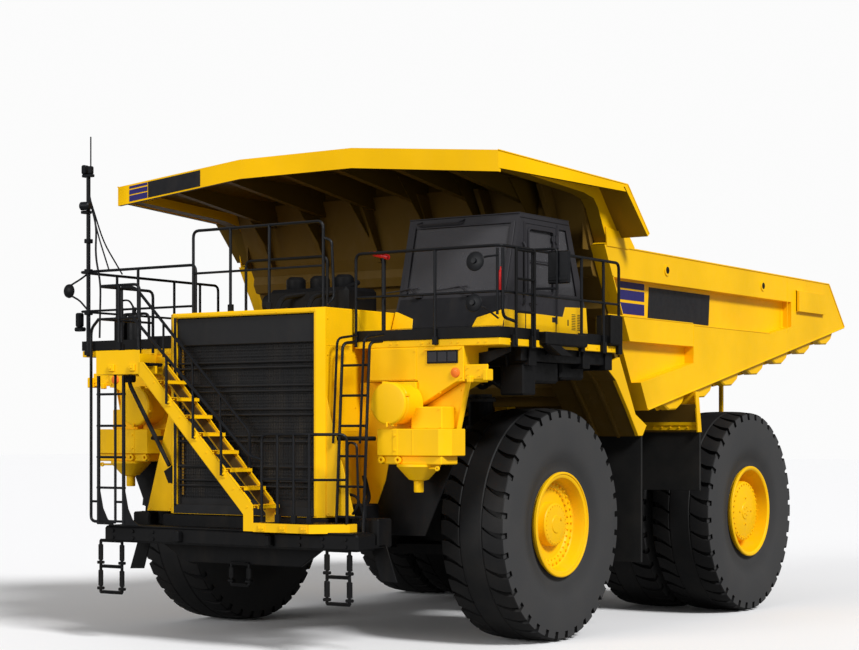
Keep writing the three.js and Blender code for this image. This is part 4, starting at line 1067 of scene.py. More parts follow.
def lamp_box(bm):
    face = [(1.491, 3.789), (2.93, 3.789), (2.93, 3.36), (2.82, 3.35), (2.25, 3.05), (2.25, 3.37),
            (1.491, 3.37)]
    cut_sheet(bm, on_y(DECK_Y, *face), (0, 0.56, 0), 0.008)
    plate(bm, 1.5, 2.24, DECK_Y - 0.012, DECK_Y, 3.385, 3.775, 0.003)
    plate(bm, 2.36, 2.88, DECK_Y - 0.03, DECK_Y, 3.742, 3.75, 0.002)
    for x, z in ((2.22, 3.74), (2.22, 3.4), (2.89, 3.76), (2.89, 3.4), (2.3, 3.06), (2.6, 3.22), (1.53, 3.74),
                 (1.53, 3.41)):
        bolt(bm, spot(x, DECK_Y - 0.01, z), FORWARD, *SCREW)
    plates(bm, [
        (2.93, 3.26, DECK_Y + 0.02, DECK_Y + 0.05, 3.38, 3.56, 0.008),
        (3.24, 3.3, DECK_Y - 0.06, DECK_Y + 0.09, 3.36, 3.5, 0.01),
        (3.0, 3.06, DECK_Y - 0.05, DECK_Y + 0.03, 3.34, 3.42, 0.01),
    ])
    for x, z in ((2.98, 3.44), (2.98, 3.52), (3.14, 3.42), (3.14, 3.5), (3.21, 3.44)):
        bolt(bm, spot(x, DECK_Y + 0.02, z), FORWARD, 0.022, 0.012)


def kick_plates(bm):
    plates(bm, [
        (1.29, 3.452, -2.249, -2.196, 3.88, 4.012, 0.003),
        (3.402, 3.452, -2.2, -1.32, 3.88, 4.012, 0.003),
        (3.402, 3.452, -0.28, 0.735, 3.88, 4.012, 0.003),
        (1.3, 3.4, -2.19, -1.5, 3.876, 3.88, 0.001),
        (3.0, 3.4, -1.5, 0.72, 3.876, 3.88, 0.001),
        (1.3, 3.0, 0.7, 0.72, 3.876, 3.885, 0.001),
    ])


def deck_beams(bm):
    for y in (-1.35, 0.0, 0.6):
        plate(bm, 1.31, 3.38, y - 0.09, y + 0.09, 3.56, 3.786, 0.01)
    for x in (1.5, 2.4, 3.3):
        plate(bm, x - 0.05, x + 0.05, -1.58, 0.7, 3.62, 3.787, 0.01)
    plates(bm, [
        (1.31, 3.4, -1.585, 0.71, 3.78, 3.788, 0.002),
        (2.2, 3.25, -1.2, -0.5, 3.36, 3.64, 0.03),
        (2.5, 3.2, -0.35, 0.25, 3.42, 3.66, 0.03),
        (2.95, 3.3, -1.45, -1.15, 3.2, 3.6, 0.02),
    ])
    for y in (-1.9, -1.0, -0.2):
        cut_sheet(bm, on_y(y, (2.3, 3.62), (3.38, 3.78), (3.38, 3.72), (2.6, 3.4)), (0, 0.03, 0), 0.003)
    for x in (2.45, 2.75, 3.05):
        tube(bm, [(x, -1.45, 3.7), (x, -1.4, 3.42), (x - 0.1, -0.9, 3.3), (x - 0.2, -0.4, 3.45),
                  (x - 0.2, 0.1, 3.4), (x - 0.3, 0.5, 3.6)], 0.03, 0.12, 8)
    lathe(bm, [(0, 0), (0.14, 0), (0.15, 0.03), (0.15, 0.5), (0.12, 0.54), (0, 0.54)], spot(1.9, -1.4, 3.4),
          BACK, 20)


def lamp_cluster(bm):
    plate(bm, 2.4, 2.85, DECK_Y - 0.016, DECK_Y, 3.58, 3.738, 0.03)


def lamp_lenses(bm):
    for x in (2.48, 2.625, 2.77):
        plate(bm, x - 0.062, x + 0.062, DECK_Y - 0.022, DECK_Y - 0.01, 3.6, 3.72, 0.008)


def marker_lamps(bm):
    lathe(bm, [(0, 0), (0.062, 0), (0.06, 0.018), (0.04, 0.03), (0, 0.034)], spot(2.815, DECK_Y, 3.466),
          FORWARD)
    plate(bm, 3.447, 3.475, 0.66, 0.72, 3.79, 3.87, 0.006)


both_sides("deck_plate", deck_plate, truck_yellow, "deck")
both_sides("lamp_box", lamp_box, truck_yellow)
both_sides("deck_kick_plates", kick_plates, chassis_black)
both_sides("deck_underframe", deck_beams, chassis_black)
both_sides("lamp_cluster", lamp_cluster, rail_black, slot="dark_plastic")
both_sides("lamp_lenses", lamp_lenses, lamp_glass)
both_sides("marker_lamps", marker_lamps, marker_orange)

bm = bmesh.new()
plate(bm, 3.402, 3.56, -1.32, -0.28, 3.82, 3.985, 0.02)
cut_sheet(bm, [(3.41, -1.3, 3.82), (3.55, -1.25, 3.82), (3.55, -0.95, 3.7), (3.41, -0.95, 3.7)], (0, 0.3, 0),
          0.01)
plate(bm, 3.27, 3.52, 0.42, 0.73, 3.885, 4.28, 0.02)
plate(bm, 3.25, 3.3, 0.45, 0.7, 3.95, 4.2, 0.01)
for y in (-1.95, -1.52, -0.3, 0.28, 0.7):
    plate(bm, 3.447, 3.5, y - 0.05, y + 0.05, 3.77, 3.92, 0.006)
for y in (-1.95, -1.52):
    tube(bm, [(3.5, y, 3.8), (3.5, y, 4.98)], 0.02)
for z in (4.2, 4.6, 4.95):
    tube(bm, [(3.5, -1.95, z), (3.5, -1.52, z)], 0.016)
finished("deck_side_boxes", bm, chassis_black)

# ---------------------------------------------------------------- hood top
# Black exhaust shrouds in sheet steel, a long round canister, bent intake tubes
# and a tube hoop, all standing on the hood lid behind the rails.

bm = bmesh.new()
plate(bm, -0.35, 0.95, -1.95, -1.25, 4.28, 4.62, 0.05)
for x in (-0.15, 0.25, 0.65):
    lathe(bm, [(0, 0), (0.12, 0), (0.13, 0.02), (0.13, 0.16), (0.09, 0.2), (0, 0.2)], spot(x, -1.6, 4.6), UP,
          18)
lathe(bm, [(0, 0), (0.15, 0), (0.15, 0.9), (0.12, 0.94), (0, 0.94)], spot(-0.9, -1.25, 4.47), (1, 0, 0.08), 20)
for x in (0.0, 0.5):
    tube(bm, [(x, -2.2, 4.3), (x, -2.1, 4.5), (x + 0.3, -1.9, 4.55), (x + 0.3, -1.5, 4.7)], 0.035, 0.1, 8)
tube(bm, on_y(-2.1, (-0.6, 4.28), (-0.6, 5.0), (0.75, 5.0), (0.75, 4.28)), 0.02)
finished("hood_top_equipment", bm, chassis_black)

# ---------------------------------------------------------------- air cleaners
# Round-lidded intake canister over a ribbed dust tank with a rubber-tipped
# funnel, all in yellow sheet steel with eye lugs, clamps and wing bolts.


def air_cleaner(bm):
    lathe(bm, [(0, 0), (0.25, 0), (0.25, 0.3), (0.262, 0.31), (0.262, 0.325), (0.255, 0.335), (0.255, 0.355),
               (0.262, 0.365), (0.262, 0.39), (0.245, 0.405), (0.2, 0.412), (0, 0.416)],
          spot(2.09, -2.245, 3.09), FORWARD, 40)
    for turn in (0.4, 1.9, 3.4, 4.9):
        x, z = 2.09 + 0.265 * math.cos(turn), 3.09 + 0.265 * math.sin(turn)
        plate(bm, x - 0.018, x + 0.018, -2.63, -2.54, z - 0.018, z + 0.018, 0.005)
    plate(bm, 2.08, 2.1, -2.68, -2.655, 2.8, 2.86, 0.006)
    cut_sheet(bm, on_y(-2.3, (1.84, 3.36), (2.26, 3.36), (2.26, 2.77), (1.84, 2.77)), (0, 0.055, 0), 0.006)
    plate(bm, 2.26, 2.72, -2.4, -2.115, 2.775, 3.05, 0.012)
    for x, z in ((2.3, 2.8), (2.5, 2.8), (2.7, 2.8), (2.68, 3.02), (2.1, 3.34), (1.88, 3.34)):
        bolt(bm, spot(x, -2.4 if x > 2.26 else -2.3, z), FORWARD, *SCREW)
    plan = [(1.79, -2.45), (1.9, -2.6), (2.8, -2.6), (2.9, -2.45), (2.9, -2.16), (1.79, -2.16)]
    cut_sheet(bm, on_z(2.45, *plan), (0, 0, 0.33), 0.008)
    for x in (2.14, 2.19, 2.42):
        plate(bm, x - 0.003, x + 0.003, -2.604, -2.598, 2.46, 2.77, 0.001)
    plate(bm, 2.13, 2.2, -2.606, -2.595, 2.455, 2.775, 0.003)
    for x, z in ((2.165, 2.52), (2.165, 2.7)):
        bolt(bm, spot(x, -2.605, z), FORWARD, 0.026, 0.014)
    plate(bm, 1.92, 2.82, -2.56, -2.2, 2.345, 2.452, 0.012)
    for x in (1.95, 2.2):
        lathe(bm, [(0.02, 0), (0.045, 0), (0.045, 0.03), (0.02, 0.03), (0.02, 0)], spot(x, -2.57, 2.4), FORWARD,
              16)
    lathe(bm, [(0, -0.345), (0.055, -0.345), (0.06, -0.33), (0.06, -0.21), (0.075, -0.2), (0.12, -0.19),
               (0.26, -0.04), (0.27, -0.03), (0.27, 0), (0, 0)], spot(2.38, -2.4, 2.348), UP, 32)
    tube(bm, [(2.6, -2.5, 2.3), (2.75, -2.54, 2.3)], 0.014, 0, 6)
    lathe(bm, [(0.012, 0), (0.03, 0), (0.03, 0.02), (0.012, 0.02), (0.012, 0)], spot(2.76, -2.55, 2.3), FORWARD,
          12)


both_sides("air_cleaner_canister", air_cleaner, truck_yellow, "air_cleaner")


def fender_sheet(bm):
    outline = [(1.275, 3.365), (1.275, 1.69), (1.457, 1.69), (1.53, 1.8), (1.674, 2.135), (1.72, 2.34),
               (2.69, 2.34), (2.93, 3.345), (2.82, 3.345), (2.255, 3.045), (2.245, 3.045), (2.245, 3.365)]
    cut_sheet(bm, on_y(-2.11, *outline), (0, 0.036, 0), 0.004)
    for z in (2.5, 2.75, 3.0, 3.25):
        bolt(bm, spot(2.45 + (z - 2.1) * 0.31, -2.11, z), FORWARD, *SCREW)
    cut_sheet(bm, [(2.7, -2.11, 2.34), (2.93, -2.11, 3.345), (2.89, -2.14, 3.345), (2.66, -2.14, 2.34)],
              (0, 0.02, 0), 0.003)


def fender_apron(bm):
    outline = [(1.68, 2.345), (2.685, 2.345), (2.26, 1.45), (1.547, 1.45), (1.49, 1.72), (1.62, 2.05)]
    cut_sheet(bm, on_y(-2.098, *outline), (0, 0.024, 0), 0.003)
    plate(bm, 1.5, 1.72, -2.6, -2.3, 1.5, 1.85, 0.02)
    plate(bm, 1.72, 2.02, -2.75, -2.45, 1.32, 1.68, 0.02)
    tube(bm, [(1.55, -2.4, 2.2), (1.6, -2.35, 1.9), (1.6, -2.5, 1.8)], 0.03, 0.08, 8)
    tube(bm, [(1.45, -2.75, 2.0), (1.7, -2.75, 1.95), (1.78, -2.7, 1.66)], 0.018, 0.06, 8)
    tube(bm, [(1.3, -2.7, 2.66), (1.84, -2.56, 2.66)], 0.028, 0, 8)


both_sides("fender_sheet", fender_sheet, truck_yellow, "fender")
both_sides("fender_apron", fender_apron, chassis_black)

bm = bmesh.new()
tube(bm, [(-1.96, -2.9, 3.5), (-1.92, -2.9, 3.35), (-1.25, -2.88, 2.3)], 0.028, 0.04, 8)
cut_sheet(bm, on_y(-2.88, (-1.354, 2.227), (-1.206, 2.307), (-1.186, 2.072), (-1.276, 2.071)), (0, 0.075, 0),
          0.006)
plate(bm, -2.04, -1.86, -2.96, -2.84, 3.4, 3.5, 0.02)
finished("landing_brace", bm, chassis_black)

# ---------------------------------------------------------------- mirrors and mast
# Driver's mirrors on bent tube arms, the sensor mast with its aerial and stays,
# two fire bottles, and two black suppression bottles on the right deck.

mirror_face = sprayed_enamel("mirror_face", (0.1, 0.1, 0.11), 0.3, 0.02, metallic=0.3)
bottle_red = sprayed_enamel("bottle_red", (0.5, 0.012, 0.012), 0.3, 0.05)

bm = bmesh.new()
tube(bm, [(3.5, -1.52, 4.98), (3.76, -1.42, 4.99), (3.76, -1.42, 4.48)], 0.016, 0.06, 8)
tube(bm, [(3.5, -1.52, 4.5), (3.76, -1.42, 4.5)], 0.014, 0.05, 8)
tube(bm, [(3.76, -1.4, 4.99), (3.49, -1.0, 4.97)], 0.012, 0.05, 8)
plate(bm, 3.61, 3.915, -1.395, -1.34, 4.56, 4.965, 0.03)
plate(bm, 3.62, 3.9, -1.405, -1.39, 4.6, 4.64, 0.004)
tube(bm, [(3.45, -2.27, 4.86), (3.3, -2.36, 4.84), (3.19, -2.38, 4.79)], 0.012, 0.05, 6)
tube(bm, [(3.45, -2.27, 4.1), (3.3, -2.36, 4.24), (3.17, -2.38, 4.29)], 0.012, 0.05, 6)
for x, z, r in ((3.19, 4.79, 0.12), (3.17, 4.29, 0.11)):
    lathe(bm, [(0, 0.05), (0.03, 0.05), (0.035, 0.02), (r * 0.7, 0.014), (r * 0.95, 0.004), (r, -0.004),
               (0, -0.006)], spot(x, -2.39, z), (0.1, -1, 0.1), 28)
tube(bm, [(-3.47, -2.1, 4.98), (-3.6, -2.12, 4.9), (-3.8, -2.12, 4.82)], 0.014, 0.06, 8)
tube(bm, [(-3.47, -2.1, 4.45), (-3.62, -2.12, 4.6), (-3.8, -2.12, 4.68)], 0.014, 0.06, 8)
lathe(bm, [(0, 0.06), (0.06, 0.05), (0.095, 0.02), (0.1, 0), (0.095, -0.006), (0, -0.006)],
      spot(-3.81, -2.13, 4.74), FORWARD, 28)
plate(bm, -3.66, -3.5, -2.2, -2.1, 4.16, 4.22, 0.02)
plate(bm, -3.62, -3.52, -2.22, -2.12, 4.22, 4.42, 0.02)
finished("driver_mirrors", bm, rail_black, slot="dark_plastic")

bm = bmesh.new()
plate(bm, 3.63, 3.9, -1.339, -1.334, 4.58, 4.945, 0.002)
for x, z, r in ((3.19, 4.79, 0.105), (3.17, 4.29, 0.095)):
    lathe(bm, [(0, 0), (r, 0), (r * 0.98, 0.003), (0, 0.006)], spot(x, -2.386, z), (-0.1, 1, -0.1), 28)
lathe(bm, [(0, 0), (0.09, 0), (0.088, 0.004), (0, 0.01)], spot(-3.81, -2.122, 4.74), BACK, 28)
finished("mirror_glasses", bm, mirror_face)

bm = bmesh.new()
tube(bm, [(-3.245, -2.33, 3.79), (-3.245, -2.33, 6.3)], 0.03, 0, 12)
tube(bm, [(-3.2, -2.33, 6.42), (-3.2, -2.33, 6.849)], 0.01, 0, 6)
plates(bm, [
    (-3.34, -3.16, -2.37, -2.29, 6.29, 6.33, 0.008),
    (-3.34, -3.27, -2.39, -2.27, 6.33, 6.46, 0.02),
    (-3.23, -3.17, -2.37, -2.29, 6.33, 6.44, 0.015),
])
lathe(bm, [(0, 0), (0.05, 0), (0.06, 0.01), (0.06, 0.13), (0.045, 0.15), (0, 0.15)], spot(-3.3, -2.42, 5.88),
      (1, 0.2, 0), 18)
plate(bm, -3.33, -3.2, -2.4, -2.3, 5.78, 5.82, 0.008)
for z in (3.84, 4.4, 4.98, 5.4):
    plate(bm, -3.29, -3.2, -2.375, -2.28, z - 0.03, z + 0.03, 0.008)
tube(bm, [(-3.24, -2.33, 6.1), (-3.1, -2.3, 5.5), (-2.9, -2.28, 4.98)], 0.012, 0.2, 6)
tube(bm, [(-3.24, -2.33, 6.05), (-3.18, -2.1, 5.4), (-3.2, -1.7, 4.98)], 0.012, 0.2, 6)
tube(bm, [(-3.22, -2.3, 5.9), (-3.14, -2.28, 5.6), (-3.16, -2.28, 5.2), (-3.08, -2.26, 4.8),
          (-3.1, -2.26, 4.05)], 0.016, 0.15, 6)
finished("sensor_mast", bm, rail_black, "mast")

bm = bmesh.new()
for x in (-2.98, -2.74):
    lathe(bm, [(0, 0), (0.1, 0), (0.1, 0.42), (0.08, 0.49), (0.03, 0.52), (0.03, 0.6), (0, 0.6)],
          spot(x, -1.95, 3.88), UP, 20)
tube(bm, on_y(-1.8, (-3.12, 3.88), (-3.12, 4.4), (-2.6, 4.4), (-2.6, 3.88)), 0.02)
tube(bm, [(-2.98, -1.95, 4.46), (-2.94, -2.0, 4.58), (-2.78, -2.0, 4.58), (-2.74, -1.95, 4.46)], 0.014, 0.06, 6)
plate(bm, -2.9, -2.3, -1.5, -0.9, 3.88, 4.1, 0.03)
finished("suppression_bottles", bm, chassis_black)

bm = bmesh.new()
for place, way in ((spot(3.0, -1.5, 4.5), UP), (spot(1.8, -2.22, 4.92), (-0.96, 0, 0.25))):
    lathe(bm, [(0, 0), (0.03, 0), (0.034, 0.01), (0.034, 0.22), (0.024, 0.25), (0.012, 0.27), (0.012, 0.3),
               (0, 0.3)], place, way, 20)
finished("fire_bottles", bm, bottle_red)

# ---------------------------------------------------------------- chassis frame
# Box-section side members with flange strips, fabricated from plate, with the
# front strut towers and their bolted caps; nitrogen struts carry both axles.

STRUT_X = 1.75


def frame_flanges(bm):
    top = [(-2.85, 1.64), (-0.6, 1.8), (1.4, 1.9), (2.2, 2.45), (2.5, 2.82), (4.3, 3.19), (5.5, 3.23),
           (6.72, 3.2)]
    low = [(-2.85, 1.29), (-1.2, 1.19), (4.05, 1.19), (4.35, 1.75), (4.7, 2.25), (6.2, 2.3), (6.68, 2.7)]
    for line, lift in ((top, 0.012), (low, -0.012)):
        for (y0, z0), (y1, z1) in zip(line, line[1:]):
            cut_sheet(bm, [(0.41, y0, z0), (0.67, y0, z0), (0.67, y1, z1), (0.41, y1, z1)], (0, 0, lift), 0.002)
    for y in (-2.3, -1.7, -1.1, 0.8, 1.5, 2.9, 3.5):
        plate(bm, 0.648, 0.665, y - 0.12, y + 0.12, 1.35, 1.6, 0.004)
        for dy in (-0.08, 0.08):
            for z in (1.4, 1.55):
                bolt(bm, spot(0.664, y + dy, z), LEFT, 0.04, 0.02)
    for y in (2.9, 3.3, 3.7):
        tube(bm, [(0.67, y, 2.6), (0.7, y + 0.1, 2.2), (0.7, y + 0.3, 1.7)], 0.025, 0.1, 8)
    for z in (1.75, 1.83):
        tube(bm, [(0.675, -1.8, z), (0.69, -0.7, z + 0.04), (0.69, 0.9, z + 0.06), (0.69, 1.4, z + 0.06)],
             0.022, 0.1, 8)


def front_struts(bm):
    lathe(bm, [(0, -0.02), (0.19, -0.02), (0.19, 0.06), (0.175, 0.07), (0.175, 0.22)], spot(STRUT_X, 0, 2.25),
          UP, 32)
    lathe(bm, [(0.175, 0), (0.2, 0), (0.2, 0.05), (0.175, 0.05), (0.175, 0)], spot(STRUT_X, 0, 2.78), UP, 32)
    lathe(bm, [(0, 0), (0.2, 0), (0.2, 0.04), (0.15, 0.06), (0.15, 0.1), (0, 0.1)], spot(STRUT_X, 0, 3.148), UP,
          32)
    for x, y in around(12, 0.175):
        bolt(bm, spot(STRUT_X + x, y, 3.188), UP, 0.035, 0.02)


both_sides("frame_flanges", frame_flanges, chassis_black)
both_sides("front_strut_caps", front_struts, casting_grey)

# ---------------------------------------------------------------- engine and driveline
# Cast block with rocker covers, belts and fan at the nose, then a gearbox and
# a flanged propeller shaft back to the final drive.

bm = bmesh.new()
plate(bm, -0.34, 0.34, -1.9, -0.3, 1.72, 2.7, 0.03)
plate(bm, -0.26, 0.26, -1.8, -0.4, 1.5, 1.73, 0.05)
for side in (-1, 1):
    x = sorted((side * 0.1, side * 0.38))
    plate(bm, *x, -1.88, -0.32, 2.68, 2.95, 0.03)
    for i in range(6):
        y = -1.84 + i * 0.26
        plate(bm, *x, y, y + 0.22, 2.94, 3.08, 0.03)
        bolt(bm, spot(side * 0.24, y + 0.11, 3.08), UP, 0.04, 0.02)
        lathe(bm, [(0.05, 0), (0.05, 0.08)], spot(side * 0.34, y + 0.11, 2.5), (side, 0, 0), 10)
    lathe(bm, rod(0.08, 1.5), spot(side * 0.3, -1.85, 3.18), BACK, 16)
plate(bm, -0.2, 0.2, -1.5, -0.6, 3.06, 3.29, 0.04)
lathe(bm, rod(0.2, 0.05), spot(0, -1.9, 2.1), FORWARD, 28)
lathe(bm, rod(0.12, 0.05), spot(0.2, -1.9, 2.6), FORWARD, 24)
fan_hub = Matrix.Translation(spot(0, -1.97, 2.1))
blade = Matrix.Translation((0, 0, 0.3)) @ Matrix.Rotation(0.5, 4, "Z") @ Matrix.Diagonal((0.12, 0.01, 0.3, 1))
for i in range(8):
    bmesh.ops.create_cube(bm, size=1, matrix=fan_hub @ Matrix.Rotation(i * math.pi / 4, 4, "Y") @ blade)
plate(bm, -0.4, 0.4, -0.31, -0.25, 1.6, 2.6, 0.03)
finished("engine_block", bm, casting_grey, "engine")

bm = bmesh.new()
plate(bm, -0.36, 0.36, 0.3, 1.0, 1.38, 2.1, 0.06)
plate(bm, -0.3, 0.3, 1.0, 1.4, 1.36, 1.9, 0.06)
for y in (0.26, 0.98):
    lathe(bm, [(0, 0), (0.34, 0), (0.36, 0.015), (0.36, 0.045), (0.34, 0.06), (0, 0.06)], spot(0, y, 1.75),
          BACK, 32)
for x, z in around(14, 0.33):
    bolt(bm, spot(x, 0.26, 1.75 + z), FORWARD, 0.035, 0.02)
lathe(bm, [(0, 0), (0.2, 0), (0.2, 0.05), (0.12, 0.09), (0.11, 0.2), (0.075, 0.24), (0.075, 3.08), (0.11, 3.12),
           (0.12, 3.23), (0.2, 3.27), (0.2, 3.32), (0, 3.32)], spot(0, 1.438, 1.56), BACK, 28)
for x in (-0.2, 0.0, 0.2):
    tube(bm, [(x, 0.9, 2.1), (x, 0.9, 2.25), (x + 0.05, 0.2, 2.3)], 0.025, 0.06, 8)
finished("gearbox_and_shaft", bm, casting_grey, "transmission")

# ---------------------------------------------------------------- rear axle
# Cast banjo housing with bolted final drive, a pair of control links forward
# to the frame, and two suspension struts standing on its seats.

bm = bmesh.new()
lathe(bm, [(0, -2.64), (0.23, -2.64), (0.23, -1.15), (0.3, -1.12), (0.33, -1.05), (0.33, -0.6), (0.42, -0.46),
           (0.52, -0.26), (0.54, -0.12), (0.54, 0.12), (0.52, 0.26), (0.42, 0.46), (0.33, 0.6), (0.33, 1.05),
           (0.3, 1.12), (0.23, 1.15), (0.23, 2.64), (0, 2.64)], spot(0, 5.35, AXLE_Z), LEFT, 48)
for out, y in ((-1, 4.87), (1, 5.83)):
    lathe(bm, [(0, -0.1), (0.4, -0.1), (0.42, -0.08), (0.42, 0), (0.36, 0.02), (0, 0.04)], spot(0, y, AXLE_Z),
          (0, out, 0), 40)
    for x, z in around(20, 0.39):
        bolt(bm, spot(x, y + out * 0.002, AXLE_Z + z), (0, out, 0), 0.04, 0.025)
lathe(bm, [(0, 0), (0.13, 0), (0.16, 0.05), (0.2, 0.12), (0.2, 0.16)], spot(0, 4.765, 1.56), BACK, 28)
for side in (-1, 1):
    tube(bm, [(side * 0.17, 3.65, 1.33), (side * 0.32, 5.05, 1.4)], 0.085, 0, 16)
    lathe(bm, rod(0.13, 0.14), spot(side * 0.17 - 0.07, 3.65, 1.33), LEFT, 24)
    plate(bm, *sorted((side * 0.68, side * 0.94)), 5.48, 5.72, 1.7, 1.9, 0.02)
    lean = Vector((0, 0.08, 0.48))
    lathe(bm, [(0, 0), (0.125, 0), (0.125, 0.4), (0.14, 0.41), (0.14, 0.47), (0.1, 0.49)],
          spot(side * 0.8, 5.6, 1.85), lean, 28)
    tube(bm, [(side * 0.93, 5.6, 1.95), (side * 0.98, 5.56, 2.2), (side * 0.9, 5.5, 2.5)], 0.014, 0.05, 6)
lathe(bm, rod(0.08, 0.52), spot(-0.26, 3.65, 1.33), LEFT, 20)
finished("rear_axle_housing", bm, casting_grey, "rear_axle")
bm = bmesh.new()
for side in (-1, 1):
    lathe(bm, rod(0.09, 0.34), spot(side * 0.8, 5.663, 2.24), (0, 0.05, 0.36), 28)
finished("rear_strut_rods", bm, rod_steel)

# ---------------------------------------------------------------- tanks
# Pressed steel tanks hung on the frame by straps, with filler necks, sight
# gauges, drain plugs and weld seams; fuel on the left, hydraulic on the right.


def side_tank(bm):
    plate(bm, 0.7, 1.95, 2.15, 3.14, 1.25, 2.35, 0.07)
    for y in (2.36, 2.64, 2.92):
        plate(bm, 0.69, 1.965, y - 0.03, y + 0.03, 1.24, 2.362, 0.006)
    lathe(bm, [(0, 0), (0.08, 0), (0.08, 0.06), (0.1, 0.065), (0.1, 0.11), (0.085, 0.12), (0, 0.12)],
          spot(1.6, 2.3, 2.35), UP, 24)
    lathe(bm, [(0, 0), (0.06, 0), (0.055, 0.02), (0, 0.022)], spot(1.95, 2.24, 1.7), LEFT, 20)
    tube(bm, on_y(3.04, (1.95, 1.4), (1.99, 1.42), (1.99, 2.1), (1.95, 2.12)), 0.012, 0.03, 8)
    for z in (1.4, 2.2):
        for y in (2.5, 2.78):
            bolt(bm, spot(1.962, y, z), LEFT, 0.035, 0.015)
    tube(bm, [(0.9, 2.3, 2.34), (0.9, 2.2, 2.5), (0.7, 1.9, 2.3)], 0.03, 0.08, 8)


for name, sign in (("fuel_tank", 1), ("hydraulic_tank", -1)):
    bm = bmesh.new()
    side_tank(bm)
    if sign < 0:
        bmesh.ops.scale(bm, verts=bm.verts, vec=(-1, 1, 1))
    finished(f"{name}_shell", bm, chassis_black, name)

# ---------------------------------------------------------------- steering
# Forged knuckles with bolted arms and brake hoses, joined across the truck by
# one tubular tie rod with clamped ball ends.


def knuckle_detail(bm):
    for y, z in around(16, 0.26):
        bolt(bm, spot(2.01, y, AXLE_Z + z), LEFT, 0.035, 0.02)
    plate(bm, 1.62, 1.88, -0.19, 0.19, 1.3, 1.45, 0.02)
    lathe(bm, [(0, 0), (0.08, 0), (0.08, 0.025), (0.05, 0.04), (0, 0.045)], spot(1.75, 0.76, 1.32), UP, 20)
    for y in (0.25, 0.5):
        bolt(bm, spot(1.75, y, 1.32), UP, 0.05, 0.03)
    tube(bm, [(1.88, -0.1, 1.8), (1.96, -0.28, 1.86), (2.06, -0.3, 1.7)], 0.018, 0.06, 8)


both_sides("knuckle_fittings", knuckle_detail, casting_grey, body="{}_knuckle")

bm = bmesh.new()
lathe(bm, [(0, 0), (0.036, 0), (0.036, 0.16), (0.048, 0.17), (0.048, 0.3), (0.042, 0.31), (0.042, 3.19),
           (0.048, 3.2), (0.048, 3.33), (0.036, 3.34), (0.036, 3.5), (0, 3.5)], spot(-1.75, 0.76, 1.08), LEFT,
      20)
for x in (-1.75, 1.75):
    lathe(bm, [(0, 0), (0.06, 0), (0.075, 0.015), (0.075, 0.08), (0.055, 0.1), (0, 0.1)], spot(x, 0.76, 1.03),
          UP, 24)
finished("steering_tie_rod", bm, chassis_black, "tie_rod", body="tie_rod", slot="bright_steel")

# ---------------------------------------------------------------- hoist
# Two hydraulic cylinders between frame and body: a painted barrel with a
# bolted gland and ports, and a polished rod with a forged eye.

HOIST_FOOT = (3.95, 1.45)
HOIST_EYE = (5.275, 3.401)
hoist_reach = math.dist(HOIST_FOOT, HOIST_EYE)
hoist_way = Vector((0, HOIST_EYE[0] - HOIST_FOOT[0], HOIST_EYE[1] - HOIST_FOOT[1])).normalized()

for side, sign in SIDES:
    x = sign * 0.94
    foot = spot(x, *HOIST_FOOT)
    bm = bmesh.new()
    end = hoist_reach - 0.23
    lathe(bm, [(0, 0.1), (0.1, 0.1), (0.13, 0.14), (0.13, end - 0.12), (0.145, end - 0.11), (0.145, end - 0.02),
               (0.13, end), (0.092, end), (0.092, end - 0.1)], foot, hoist_way, 32)
    lathe(bm, [(0.066, 0), (0.12, 0), (0.13, 0.01), (0.13, 0.17), (0.12, 0.18), (0.066, 0.18), (0.066, 0)],
          spot(x - 0.09, *HOIST_FOOT), LEFT, 28)
    port = foot + hoist_way * 0.3
    route = [port + Vector((sign * out, 0, 0)) + hoist_way * along
             for out, along in ((0.12, 0), (0.17, 0.06), (0.17, 1.4), (0.12, 1.46))]
    tube(bm, [(p.x, p.y - AXLE_Y, p.z) for p in route], 0.02, 0.05, 8)
    finished(f"{side}_hoist_cylinder", bm, chassis_black, f"{side}_hoist_barrel", body=f"{side}_hoist_barrel")
    bm = bmesh.new()
    lathe(bm, [(0, 0.17), (0.088, 0.17), (0.088, hoist_reach - 0.12), (0.07, hoist_reach - 0.1),
               (0, hoist_reach - 0.1)], foot, hoist_way, 32)
    lathe(bm, [(0, 0), (0.095, 0), (0.105, 0.01), (0.105, 0.14), (0.095, 0.15), (0, 0.15)],
          spot(x - 0.075, *HOIST_EYE), LEFT, 28)
    finished(f"{side}_hoist_piston", bm, rod_steel, f"{side}_hoist_rod", body=f"{side}_hoist_rod")

# ---------------------------------------------------------------- cab inside
# Two suspension seats trimmed in woven cloth, a moulded dash with dials, and a
# steering wheel on a raked column.


def woven_cloth(name, colour, other, pitch):
    cloth, tree, where = new_material(name)
    bands = (plugged(tree, "TexWave", "Fac", {"Scale": pitch, "Vector": where},
                     bands_direction=axis) for axis in "XZ")
    cross = calculated(tree, "MULTIPLY", *bands)
    dress(tree, Roughness=0.9, Sheen_Weight=0.3, Base_Color=mixed(tree, cross, colour, other),
          Normal=bumped(tree, cross, 0.4, 0.002))
    return cloth


seat_cloth = woven_cloth("seat_cloth", (0.03, 0.03, 0.034), (0.09, 0.09, 0.1), 60)
dash_plastic = sprayed_enamel("dash_plastic", (0.02, 0.02, 0.022), 0.6, 0.05)


